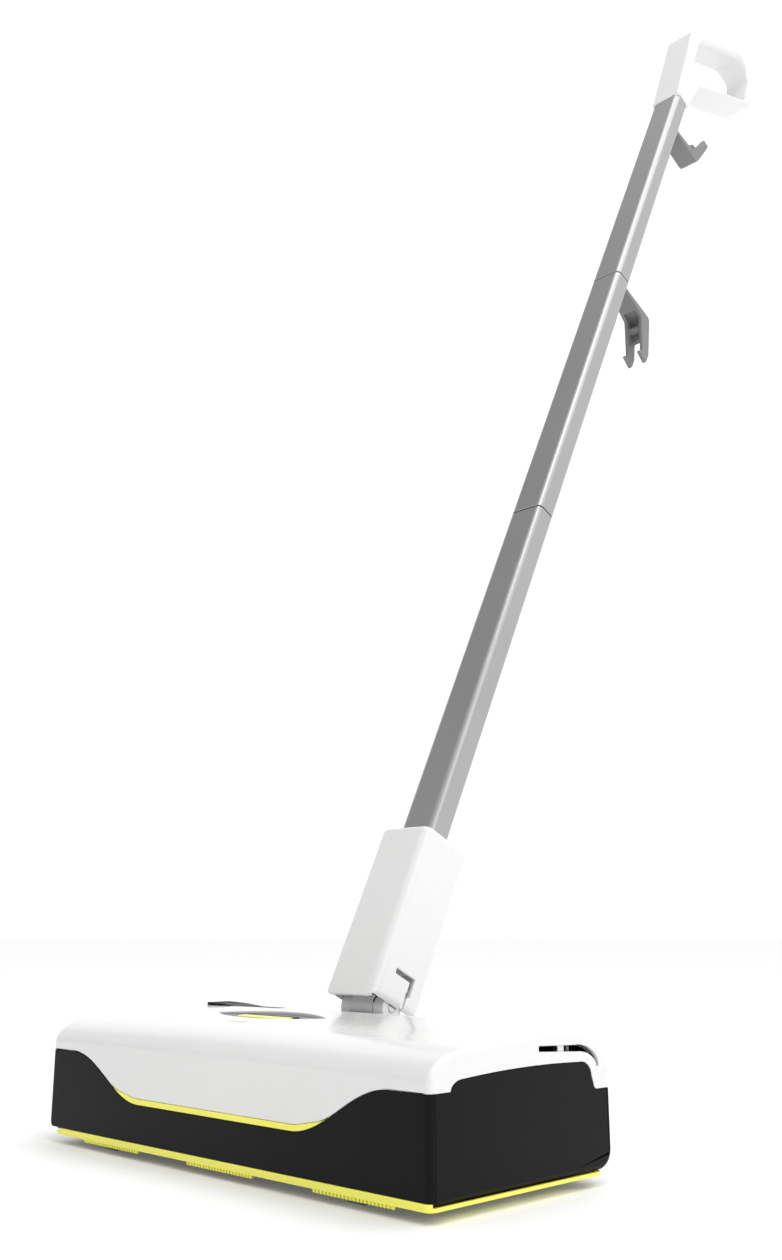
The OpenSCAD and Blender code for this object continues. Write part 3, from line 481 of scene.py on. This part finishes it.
def side_outline(i, base=BASE):
    """The head's section (y, z) moved in by i: up the front, over the top and down the rear."""
    front = [(FRONT + i, base + z) for z in (0, 3, 6, 9, 14, 20, 27, 34, 41, 47)]
    nose = arc(FRONT + 31.3, 58.6, 31.3 - i, 15.1 - i, 180, 90, 28)
    slope = [(FRONT + 31.3 + (63.7 * k / 8), 58.6 + 15.1 - i + (TOP - 73.7) * k / 8) for k in range(1, 8)]
    shoulder = arc(27, TOP - 24.4, 41 - i, 24.4 - i, 90, 0, 34)
    rear = [(REAR - i, z) for z in (48, 42, 36, 30, 24)]
    heel = arc(REAR - 10, BASE + 10, 10 - i, 10 - i, 0, -90, 10)
    sole = [(50 - 12 * k, base if base < BASE else BASE + i) for k in range(9)]
    return front + nose + slope + shoulder + rear + heel + sole


def loaf(i=0.0, base=BASE):
    """The head's outer form moved in by i: a rounded-end prism with a crowned top and tucked foot."""
    r = 3.4
    ends = [(HALF_W - i - r + r * math.sin(t), r * (1 - math.cos(t)))
            for t in (math.radians(a) for a in (90, 75, 60, 45, 30, 15, 0))]
    half = ends + [(x, 0) for x in (150, 140, 125, 105, 85, 65, 45, 25, 0)]
    rings = []
    for x, d in [(-x, d) for x, d in half[:-1]] + [(x, d) for x, d in reversed(half)]:
        rings.append([(x, y, z - min(1, max(0, (z - 40) / 38)) * CROWN * (x / HALF_W) ** 2)
                      for y, z in side_outline(i + d, base)])
    profile = []
    for side, tuck in TUCKS:
        q = max(0.4, tuck - i)
        edge = ([(HALF_W - tuck, min(base, BASE) - 3)] + arc(HALF_W - tuck, BASE + tuck, q, q, -90, 0, 10)
                + [(HALF_W + 9, BASE + 24), (HALF_W + 9, TOP + 9)])
        profile += edge if side > 0 else [(-x, z) for x, z in reversed(edge)]
    return keep(stack(rings), prism_y(profile, FRONT - 9, REAR + 9))


def skin():
    """The whole head as a thin shell, open underneath."""
    return cut(loaf(0, BASE), loaf(WALL, BASE - 8))


def ease(t):
    t = min(1, max(0, t))
    return (1 - math.cos(math.pi * t)) / 2


PART_HIGH, PART_LOW = 53.2, 29.0            # the parting line at the front's ends and middle
PART_OUT, PART_IN = 134, 66                 # where its curve starts and ends, from the middle


def part_z(x, extra=0.0):
    """Height of the parting line along the front. extra raises it over the yellow strip."""
    strip = 3.0 * ease((96 - abs(x)) / 22)
    drop = (PART_HIGH - PART_LOW) * ease((PART_OUT - abs(x)) / (PART_OUT - PART_IN))
    return PART_HIGH - drop + extra * strip


# The parting line along the sides, over the arch and down the step at its rear
SIDE_PART = ([(-60, PART_HIGH)] + arc(-45, PART_HIGH, 9, 5, 180, 90, 8)
             + [(y, 60.2 - 2 * ((y - 10) / 55) ** 2) for y in range(-38, 40, 6)]
             + arc(44, 52.5, 8, 7, 90, 0, 8) + arc(56.5, 48.7, 3, 3, 180, 270, 6) + [(REAR + 4, 45.7)])


def below(extra=0.0, up=0.0):
    """A cutter for everything under the parting line."""
    line = [(x, part_z(x, extra) + up) for x in range(-164, 165, 3)]
    front = prism_y([(-164, -4)] + line + [(164, -4)], FRONT - 4, -60)
    sides = prism_x([(-60, -4)] + [(y, z + up) for y, z in SIDE_PART] + [(REAR + 4, -4)], -164, 164)
    return join(front, sides)


def end_zone(side, gap):
    """The space of an end panel, which is gap smaller all round than its opening."""
    x0, x1 = sorted((side * (HALF_W - 9 + gap), side * (HALF_W + 4)))
    return block((x0, -END_Y + gap, -4), (x1, END_Y - gap, 90))


# ---------------------------------------------------------------- white cover
SLOT_UP = [(9.9, 69.2)] + arc(40, 57, 18.5, 11.2, 96, 0, 16)
SLOT_LOW = arc(41, 56.5, 15.6, 8.4, 2, 90, 12) + [(9.9, 66.6)]
cover = skin()
cut(cover, below(1, 0.25))
# the joint's well, then the slot of the release button with a rib across it
join(cover, keep(block((-32.4, 38.6, 48.6), (32.4, 70, 84)), loaf(0.02)))
cut(cover, prism_z(rounded_rect(60, 34, 2.5, 0, 58), 51, 84))
cut(cover, prism_x(SLOT_UP + SLOT_LOW, HALF_W - 4, HALF_W + 2))
join(cover, prism_y([(157, 62), (158.7, 62), (158.4, 71), (156.6, 71)], 26.7, 31.6))
# openings for the pedal, the badge and the light
cut(cover, prism_z(rounded_rect(76.4, 19.2, 1, PEDAL_X, PEDAL_Y), 66, 84))
cut(cover, prism_z(pointed_oval(50, 15, BADGE_X, BADGE_Y), 66, 84))
cut(cover, prism_z(rounded_rect(18, 3.4, 1.5, LED_X, LED_Y), 66, 84))
for x, y in SCREWS:
    join(cover, keep(lathe([(8.8, 3.3), (9.2, 3.6), (78, 3.6)], x, y, "Z", 32), loaf(0.5)))
    cut(cover, rod("Z", 1.5, 6, 24, x, y, sides=24))
soften(cover, 0.5, 3)
give(cover, "cover_shell", "head", "white_plastic", nodes=["top_cover"])

# ---------------------------------------------------------------- black housing
THICK = 2.6                                 # of the inner walls
lower = keep(skin(), below())
cut(lower, end_zone(1, 0), end_zone(-1, 0), block((-170, FRONT - 2, 0), (170, FRONT + WALL + 0.1, 9)))
INNER_WALLS = (
    # the floor and its right end, then the front and rear foot
    ((-150.6, -65.5, 6), (150.6, 60, 8.6)),
    ((150.5, -61.4, 6.02), (156.6, 57.8, 8.58)),
    ((-150.5, -65.45, 6.01), (150.5, -63.4, 12)),
    ((-150.5, 59.9, 7.5), (150.5, 64.4, 9.8)),
    # the two bulkheads, then the walls in front of the roller and behind it
    ((BULK_L, -34.01, 6.02), (BULK_L + THICK, 64, 48)),
    ((BULK_R, -34.01, 6.02), (BULK_R + THICK, 64, 48)),
    ((BULK_L, -36, 6.03), (BULK_R + THICK, -34, 50)),
    ((BULK_L, 21.2, 6.03), (BULK_R + THICK, 23, 29)),
)
for lo, hi in INNER_WALLS:
    join(lower, block(lo, hi))
# ribs beside the wheels, and stiffening ribs over the floor behind the roller
join(lower, bundle([block((s * x + d, y0, 6.04), (s * x + d + 2, y1, top)) for s in (-1, 1)
                    for x, y0, y1, top in ((REAR_X, 45, 62, 14), (FRONT_X, -64, -50, 10)) for d in (-8, 6)]))
join(lower, bundle([block((x, 23.5, 6.06), (x + 1.2, 59, 10.4)) for x in (-92, -60, -28, 28, 60, 92)]))
# the groove of the base strip, the roller's mouth and the bin's passage
ring = prism_z(rounded_rect(313.4, 128, 5, 3.5, -4.2), 0, 7.2)
cut(lower, cut(ring, prism_z(rounded_rect(308.6, 123.2, 5, 3.5, -4.2), -1, 9)))
cut(lower, block((BULK_L + THICK, -33, 0), (BULK_R, 20.6, 9.6)),
    block((BULK_R - 1, 24, 20.5), (BULK_R + 5, 62, 49)))
# wheel openings and the bores of the wheels' pins
cut(lower, bundle([block((s * REAR_X - 5.5, 42.5, 0), (s * REAR_X + 5.5, 66, 14.5)) for s in (-1, 1)]
                  + [block((s * FRONT_X - 5.5, -64.5, 0), (s * FRONT_X + 5.5, -49.5, 11)) for s in (-1, 1)]))
cut(lower, bundle([rod("X", 2, s * x - 9, s * x + 9, y, r, sides=24)
                   for x, y, r in ((REAR_X, REAR_Y, REAR_R), (FRONT_X, FRONT_Y, FRONT_R)) for s in (-1, 1)]))
for x in (BULK_L, BULK_R):
    cut(lower, rod("X", 7, x - 1, x + 4, ROLLER_Y, ROLLER_Z))
cut(lower, bundle([rod("Z", 1.8, 0, 20, x, y, sides=24) for x, y in SCREWS]))
soften(lower, 0.35, 2)
give(lower, "housing_skin", "head", "black_plastic", nodes=["lower_housing"])
give(screws(SCREWS, 1.5, 2.8, 22, 6, 4.4), "foot_screws", "head", "steel", nodes=["housing_screws"])

left_end = keep(skin(), below(), end_zone(-1, 0.15))
cut(left_end, rod("X", 3.6, -166, -150, SOCKET_Y, SOCKET_Z))
give(soften(left_end, 0.45, 3), "left_end_skin", "head", "black_plastic", nodes=["left_end_cap"])

bin_end = keep(skin(), below(), end_zone(1, 0.15))
join(bin_end, block((153.4, 25, 21.5), (157.6, 61, 45.4)))
cut(bin_end, bundle([block((152, 28 + 8 * k, 24), (155.6, 34.4 + 8 * k, 44)) for k in range(4)]))
give(soften(bin_end, 0.45, 3), "bin_end_skin", "bin", "black_plastic", nodes=["bin_end_panel"])

strip = keep(skin(), below(1, 0.12), block((-94, FRONT - 2, 0), (94, -60, 90)))
cut(strip, below(0, 0.12))
give(soften(strip, 0.2, 2), "lip_strip_visible", "head", "yellow_plastic", nodes=["lip_strip"])

# ---------------------------------------------------------------- base strip with comb teeth
TOOTH_STEP, TOOTH_W, TEETH = 2.5, 1.25, 22
base = prism_z(rounded_rect(313, 127.6, 5, 3.5, -4.2, 12), 5.2, 7.0)
cut(base, prism_z(rounded_rect(309, 123.6, 5, 3.5, -4.2, 12), 0, 7.5))
join(base, keep(block((-148, FRONT - 1, 5.22), (161, FRONT + 2.2, 8.8)),
                prism_z(rounded_rect(320, 136, 4, n=12), 0, 12)))
join(base, block((152, -58, 5.24), (158.1, 40, 5.9)))
cut(base, bundle([block((s * REAR_X - 5.6, 42, 0), (s * REAR_X + 5.6, 66, 14)) for s in (-1, 1)]))
soften(base, 0.3, 2)
tooth = [(FRONT + 0.05, 6), (FRONT + 0.05, 4.1), (FRONT + 0.4, 3.7), (FRONT + 1.2, 3.7), (FRONT + 1.6, 4.1),
         (FRONT + 1.6, 6)]
join(base, bundle([prism_x(tooth, x, x + TOOTH_W) for start in (-118, -17, 83.5)
                   for x in (start + TOOTH_STEP * k for k in range(TEETH))]))
give(smooth(base), "base_strip_visible", "head", "yellow_plastic", nodes=["base_strip"])

# ---------------------------------------------------------------- badge and light
ON_TOP = TO_ROW @ Matrix.Translation((BADGE_X, BADGE_Y, 73.3)) @ Matrix.Rotation(math.radians(3.3), 4, "X")
plate = prism_z(pointed_oval(49.4, 14.4, 0, 0), 0, 1.6)
cut(plate, prism_z(pointed_oval(47.4, 13.2, 0, 0), 1.25, 3))
give(soften(plate, 0.2, 2), "badge_dish", "head", "grey_plastic", ON_TOP, ["badge_plate"])
bar = prism_z(rounded_rect(44, 7, 1.6, 3, -6.6), 1.25, 2.5)
give(soften(bar, 0.35, 3), "badge_bar_front", "head", "yellow_plastic", ON_TOP, ["badge_inlay"])
bar = prism_z(rounded_rect(44, 4.6, 1.2, 3, -0.4), 1.25, 2.3)
give(soften(bar, 0.3, 3), "badge_bar_rear", "head", "black_plastic", ON_TOP)

lens = keep(block((-34, -32.7, 69), (-16, -29.3, 77.6)), loaf(0.3))
keep(lens, prism_z(rounded_rect(17.8, 3.2, 1.4, LED_X, LED_Y), 60, 90))
give(soften(lens, 0.25, 3), "led_bar", "head", "green_lens", nodes=["led_window"])

# ---------------------------------------------------------------- foot pedal and its pin
# Drawn about the pedal's middle in X, with Z = 0 under its top plate
ON_PEDAL = TO_ROW @ Matrix.Translation((PEDAL_X, 0, 75.4)) @ Matrix.Rotation(math.radians(2.2), 4, "Y")
pedal = prism_y([(-37, 0), (37, 0), (37, 1.9), (20, 2.1), (0, 1.3), (-20, 2.1), (-37, 1.9)], 27, 45)
cut(pedal, bundle([block((s * x - 0.45, 28.6, 1.3), (s * x + 0.45, 43.4, 4)) for s in (-1, 1)
                   for x in (22, 25, 28, 31, 34)]))
join(pedal, prism_y([(-9, 0.6), (9, 0.6), (3.5, -11), (-3.5, -11)], 29, 43))
cut(pedal, rod("Y", 1.55, 20, 50, 0, -8, sides=28))
give(soften(pedal, 0.35, 3), "rocker_pedal", "pedal", "black_plastic", ON_PEDAL, ["foot_pedal"])
give(pin("Y", 1.5, 24.6, 47.4, 0, -8, 0.3), "pedal_pivot", "head", "steel", ON_PEDAL, ["pedal_pin"])

# ---------------------------------------------------------------- release button
button = keep(block((148, 36, 47.2), (157.6, 56.5, 72)), loaf(WALL + 0.6))
cut(button, bundle([block((155.4, y, 55), (162, y + 1.5, 72)) for y in (38, 41.4, 44.8, 48.2, 51.6, 55)]))
cut(button, block((147, 38, 46), (154, 54, 58)))
give(soften(button, 0.3, 2), "release_button", "release", "grey_plastic", nodes=["bin_release"])


# ---------------------------------------------------------------- wheels and tyres
def rim_section(half, inner, outer):
    """A wheel's closed section as (x, radius), symmetrical about its middle plane."""
    side = [(-half, inner), (-half, inner + 1.2), (-half + 1.6, inner + 1.5), (-half + 1.6, outer - 1.3),
            (-half, outer - 1.1), (-half, outer - 0.3), (-half + 0.3, outer)]
    return side + [(-a, r) for a, r in reversed(side)]


def wheel(x, y, r, tread, label, side):
    """A spoked rim of radius r at (x, y), with a grooved tyre when it has a tread."""
    body = "wheel_" + label + "_" + side
    node = label + "_wheel_" + side
    rim = lathe([(x + a, q) for a, q in rim_section(5, 2.05, r - tread)], y, r, closed=True)
    for k in range(5):
        t = 2 * math.pi * k / 5
        mid = (r - tread + 2.6) / 2
        cut(rim, rod("X", 0.8, x - 6, x + 6, y + mid * math.cos(t), r + mid * math.sin(t), sides=20))
    give(smooth(rim), node + "_rim", body, "grey_plastic", nodes=[node])
    if tread:
        q = r - tread
        section = [(-5, q), (-5, r - 0.8), (-4.7, r - 0.25), (-4, r), (-1.8, r), (-1.5, r - 0.6), (-1.2, r)]
        section += [(-a, z) for a, z in reversed(section)]
        tyre = lathe([(x + a, z) for a, z in section], y, r, closed=True, sides=72)
        give(smooth(tyre), label + "_tyre_" + side + "_tread", body, "tyre", nodes=[label + "_tyre_" + side])


for s, side in ((-1, "left"), (1, "right")):
    wheel(s * REAR_X, REAR_Y, REAR_R, 2, "rear", side)
    wheel(s * FRONT_X, FRONT_Y, FRONT_R, 0, "front", side)
pins = [pin("X", 2, s * x - 8, s * x + 8, y, r, 0.4) for s in (-1, 1)
        for x, y, r in ((REAR_X, REAR_Y, REAR_R), (FRONT_X, FRONT_Y, FRONT_R))]
give(smooth(bundle(pins)), "wheel_axles", "head", "steel", nodes=["wheel_pins"])

# ---------------------------------------------------------------- roller
R_X0, R_X1, R_R = BULK_L + 4.6, BULK_R - 2, 13
core = lathe([(R_X0, 3), (R_X0, R_R - 0.8), (R_X0 + 0.8, R_R), (R_X1 - 0.8, R_R), (R_X1, R_R - 0.8),
              (R_X1, 3)], ROLLER_Y, ROLLER_Z, closed=True)
give(smooth(core), "brush_core", "roller", "black_plastic", nodes=["roller_core"])

ROWS, TUFTS, STRANDS = 4, 80, 3
tufts = bmesh.new()
for row, k, line, strand in itertools.product(range(ROWS), range(TUFTS), (-1, 1), range(STRANDS)):
    f = (k + 0.5) / TUFTS
    t = math.radians(row * 90 + 50 * abs(f - 0.5) + line * 8)
    out = Vector((0, -math.sin(t), math.cos(t)))
    across = Vector((0, math.cos(t), math.sin(t)))
    foot = Vector((R_X0 + 2 + f * (R_X1 - R_X0 - 4), ROLLER_Y, ROLLER_Z)) + out * 12.4
    splay = out * (12.9 + 0.3 * math.sin(7 * k + strand)) + across * (0.5 * math.sin(5 * k + 2 * strand))
    splay += Vector((0.75 * (strand - 1), 0, 0))
    web(tufts, [[foot + splay * h + r * (math.cos(a) * Vector((1, 0, 0)) + math.sin(a) * across)
                 for a in (0.4, 1.97, 3.54, 5.11)] for h, r in ((0, 0.5), (0.75, 0.45), (1, 0.2))])
give(smooth(new_object("tufts", tufts)), "brush_tufts", "roller", "bristle", nodes=["bristle_strips"])

# ---------------------------------------------------------------- dust bin
tray = block((-127, 25, 21.5), (153.4, 61, 45.4))
soften(tray, 2.2, 4, 60)
cut(tray, block((-125.2, 26.8, 23.3), (135, 59.2, 50)), block((-125.2, 20, 32), (135, 53, 50)))
cut(tray, block((136.8, 26.8, 18), (151.6, 59.2, 43.6)))
join(tray, bundle([block((x, 26.5, 22.8), (x + 1.4, 59.5, 24.6)) for x in (-85, -42, 2, 46, 90)]))
give(soften(tray, 0.3, 2), "bin_tray_visible", "bin", "bin_plastic", nodes=["bin_tray"])

# ---------------------------------------------------------------- charging socket
BORE = 2.75
socket = lathe([(-157.2, BORE), (-157.2, 4.6), (-156.8, 5), (-144, 5), (-144, BORE)], SOCKET_Y, SOCKET_Z,
               closed=True)
join(socket, cut(block((-150, 36, 27), (-143, 48, 39)), rod("X", BORE, -152, -144.8, SOCKET_Y, SOCKET_Z)))
give(soften(socket, 0.3, 2), "power_socket", "head", "black_plastic", nodes=["charging_socket"])

# ---------------------------------------------------------------- two-axis joint
BRACKET_SPOTS = [(s * 12.5, y) for s in (-1, 1) for y in (50, 58)]
bracket = prism_z(rounded_rect(32, 22.8, 3, 0, 54), 51, 53.5)
for y in (42.6, 61):
    ear = arc(0, SWIVEL_Z, 7, 7, 0, 180, 24) + [(-8.6, 52), (8.6, 52)]
    join(bracket, prism_y(ear, y, y + 4))
cut(bracket, rod("Y", 3, 41, 68, 0, SWIVEL_Z))
cut(bracket, bundle([rod("Z", 1.5, 50, 55, x, y, sides=24) for x, y in BRACKET_SPOTS]))
give(soften(bracket, 0.5, 3), "joint_bracket_visible", "head", "white_plastic", nodes=["joint_bracket"])
give(screws(BRACKET_SPOTS, 1.5, 2.4, 48.6, 53.5, 54.6), "plate_screws", "head", "steel",
     nodes=["bracket_screws"])
axle = lathe([(42.6, 2.6), (43, 3), (65, 3), (65, 3.8), (65.3, 4.1), (66.1, 4.1), (66.4, 3.8)],
             0, SWIVEL_Z, "Y")
give(smooth(axle), "swivel_axle", "head", "steel", nodes=["swivel_pin"])

KNUCKLE_X = 18.3
knuckle = rod("Y", 7, 46.8, 60.8, 0, SWIVEL_Z)
join(knuckle, block((-KNUCKLE_X, 47.9, 60.5), (KNUCKLE_X, 58.1, 70.6)))
for s in (-1, 1):
    lug = arc(TILT_Y, TILT_Z, 7.5, 7.5, 0, 180, 28) + [(43.1, 71.5), (48, 66), (48, 60.6), (58.05, 60.6)]
    join(knuckle, prism_x(lug, *sorted((s * 9.6, s * 18.25))))
cut(knuckle, rod("Y", 3.05, 40, 70, 0, SWIVEL_Z), rod("X", 3, -20, 20, TILT_Y, TILT_Z))
give(soften(knuckle, 0.5, 3), "knuckle_body", "knuckle", "white_plastic", nodes=["swivel_knuckle"])
give(smooth(pin("X", 3, -KNUCKLE_X, KNUCKLE_X, TILT_Y, TILT_Z, 0.5)), "tilt_axle", "knuckle", "steel",
     nodes=["tilt_pin"])

# ---------------------------------------------------------------- tubes
TUBE_W, TUBE_D, TUBE_R, TUBE_N = 29.8, 18.2, 5.0, -3.0      # section, and its middle towards the rear
TUBE_WALL = 0.8
SEAM_1, SEAM_2, COLLAR = 393.6, 671.2, 945.8                # along the handle
RIM = 0.5                                                   # half the groove at a seam


def tube_ring(s, grow=0.0):
    w, d = TUBE_W + 2 * grow, TUBE_D + 2 * grow
    return [(x, y, s) for x, y in rounded_rect(w, d, TUBE_R + grow, 0, TUBE_N, 10)]


def hollow_tube(s0, s1):
    """A tube with a small step round the outside of each end."""
    rings = [tube_ring(s0 + 0.4), tube_ring(s1 - 0.4), tube_ring(s1, -0.4), tube_ring(s1, -TUBE_WALL),
             tube_ring(s0, -TUBE_WALL), tube_ring(s0, -0.4)]
    return smooth(stack(rings, closed=True))


for name, s0, s1 in (("lower_tube", 36, SEAM_1 - RIM), ("middle_tube", SEAM_1 + RIM, SEAM_2 - RIM),
                     ("upper_tube", SEAM_2 + RIM, COLLAR + 24)):
    give(hollow_tube(s0, s1), name + "_visible", "handle", "tube_metal", TO_HANDLE, [name])

# ---------------------------------------------------------------- sleeve
S_W, S_D, S_N, S_R, S_WALL = 43.4, 42.0, -0.4, 6.5, 2.4


def sleeve_ring(s, i):
    return [(x, y, s) for x, y in rounded_rect(S_W - 2 * i, S_D - 2 * i, max(0.8, S_R - i), 0, S_N, 8)]


levels = [(-1.5, 0), (20, 0), (60, 0), (108.5, 0)]
levels += [(108.5 + 3.5 * math.sin(t), 3.5 * (1 - math.cos(t)))
           for t in (math.radians(a) for a in (18, 36, 54, 72, 90))]
levels += [(113.2, 6), (113.9, 9), (114.2, 11.5)]
sleeve = stack([sleeve_ring(s, i) for s, i in levels])
keep(sleeve, prism_y(rounded_rect(S_W + 0.2, 140, 8, 0, 68.4, 12), -40, 40))
cut(sleeve, stack([sleeve_ring(s, S_WALL) for s in (-6, 109.6)]))
cut(sleeve, stack([tube_ring(s, 0.15) for s in (100, 130)]))
# the open rear of the foot, and the hooked slot in its right side
cut(sleeve, block((-S_W / 2 + S_WALL, 10, -8), (S_W / 2 - S_WALL, 30, 14)))
cut(sleeve, block((15, -9, 18), (30, 8, 21.4)), block((15, 4.6, 9.4), (30, 8, 20)),
    block((15, 4.2, -8), (30, 6, 12)))
soften(sleeve, 0.6, 3)
give(sleeve, "sleeve_shell", "handle", "white_plastic", TO_HANDLE, ["sleeve"])

# ---------------------------------------------------------------- grip
# Circles (towards rear, along handle, radius) whose hull is the outline
LOOP = [(60.6, COLLAR + 152.6, 22), (74.1, COLLAR + 137.8, 23), (-4, COLLAR + 102, 16), (1, COLLAR + 39, 6)]
NECK = [(-4, COLLAR + 102, 16), (1, COLLAR + 45, 12), (-9.5, COLLAR + 3, 3.5), (3.5, COLLAR + 3, 3.5)]
HOLE = [(67, COLLAR + 154, 16), (71, COLLAR + 132, 14), (5, COLLAR + 99.3, 9), (9.7, COLLAR + 70, 13)]
GRIP_HALF = 16.5


def quarter_round(half, r, way, steps=8):
    """(x, growth) pairs that turn a face's edge by r: inwards where way is -1, outwards where 1."""
    angles = [math.radians(90 * k / steps) for k in range(steps + 1)]
    return [(half - r + r * math.cos(t), way * r * (1 - math.sin(t))) for t in angles]


def layered(circles, side, n):
    """A body through the hull's outline at each (x, growth), mirrored about x = 0."""
    both = side + [(-x, grow) for x, grow in reversed(side)]
    return stack([[(x, u, v) for u, v in hull_outline(circles, grow, n)] for x, grow in both])


def pillow(circles, half, r, n=160):
    """A hull outline, 2 * half thick, with both faces' edges rounded by r."""
    return layered(circles, quarter_round(half, r, -1), n)


def flared(circles, half, r, n=140):
    """A cutter that opens out by r at both faces, so the hole's rim comes out rounded."""
    return layered(circles, [(half + 2, r)] + quarter_round(half, r, 1), n)


grip = pillow(LOOP, GRIP_HALF, 5.8)
join(grip, pillow(NECK, GRIP_HALF - 0.3, 3.4, n=120))
cut(grip, flared(HOLE, GRIP_HALF, 6))
cut(grip, stack([tube_ring(s, 0.1) for s in (COLLAR - 6, COLLAR + 24)]))
give(smooth(grip, 42), "grip_loop", "handle", "white_plastic", TO_HANDLE, ["grip_shell", "grip_cover"])

# ---------------------------------------------------------------- hooks
UPPER, LOWER = COLLAR - 53, SEAM_2 - 18     # where the hooks stand, along the handle
ROOT = TUBE_N + TUBE_D / 2                  # the tube's rear face
PAD = 2.4                                   # thickness of a hook's mounting plate


def hook_blank(outline, pad, s):
    """A hook's whole-width profile with its mounting plate, from pad[0] to pad[1] along the handle."""
    face = rounded_rect(18.36, pad[1] - pad[0], 3, 0, s + sum(pad) / 2)
    blank = prism_x([(n, s + z) for n, z in outline], -9.2, 9.2)
    return join(blank, stack([[(x, n, z) for x, z in face] for n in (ROOT, ROOT + PAD)]))


def fork(hook, gap, s):
    """Cuts the gap between a hook's prongs."""
    return cut(hook, prism_x([(n, s + z) for n, z in gap], -5.8, 5.8))


upper_outline = [(ROOT, 17.7), (43, 17.7), (46, 19), (48, 22.5), (52.5, 40), (56, 56.2), (54.8, 58.2),
                 (48.4, 58.2), (47, 57), (41.3, 38.5), (38.4, 34), (29.5, 25), (ROOT, 20.7)]
upper_hook = hook_blank(upper_outline, (-14, 24), UPPER)
join(upper_hook, rod("X", 3.2, -9.18, 9.18, 35.5, UPPER + 29.5))
fork(upper_hook, [(30, 34), (70, 34), (70, 70), (30, 70)], UPPER)
cut(upper_hook, rod("X", 1.3, -12, 12, 35.5, UPPER + 29.5, sides=24))

lower_outline = [(ROOT, 20), (45, 20.3), (48, 18.6), (59.7, -15.7), (59.6, -24), (58.4, -26.8), (46.5, -23),
                 (50.3, -18), (36, 11.7), (26, 15.2), (ROOT, 16)]
lower_hook = hook_blank(lower_outline, (2, 36), LOWER)
fork(lower_hook, [(30, 16.2), (43, 16.2), (50.5, -1), (70, -1), (70, -40), (30, -40)], LOWER)
join(lower_hook, rod("X", 3.6, -5.9, 5.9, 44.8, LOWER + 6.4))

for hook, node in ((upper_hook, "upper_hook"), (lower_hook, "lower_hook")):
    soften(hook, 0.9, 3, 25)
    give(hook, node + "_visible", "handle", "grey_plastic", TO_HANDLE, [node])

# the hooks' screws run towards the front, so they are drawn along Z and turned
HOOK_SPOTS = [(0, -UPPER - 9), (0, -UPPER + 8), (0, -SEAM_2 + 10), (0, -SEAM_2 - 10)]
give(screws(HOOK_SPOTS, 1.5, 3, ROOT - 4, ROOT + PAD, ROOT + PAD + 2), "hook_fixings", "handle", "steel",
     TO_HANDLE @ Matrix.Rotation(-math.pi / 2, 4, "X"), ["hook_screws"])

# ---------------------------------------------------------------- core inside the sleeve
heart = rod("X", 8, -9.2, 9.2, 0, 0)
join(heart, block((-9.2, -8, 0), (9.2, 8, 32)))
join(heart, stack([tube_ring(s, 2.4) for s in (28, 106)]))
for s in (28, 96):
    flat = rounded_rect(38.6, 37.2, 4.1, 0, S_N)
    join(heart, stack([[(x, y, z) for x, y in flat] for z in (s + 0.01, s + 3)]))
cut(heart, rod("X", 3.05, -10, 10, 0, 0), stack([tube_ring(s, 0.05) for s in (36, 120)]))
give(soften(heart, 0.5, 2), "sleeve_core", "handle", "white_plastic", TO_HANDLE, ["handle_core"])
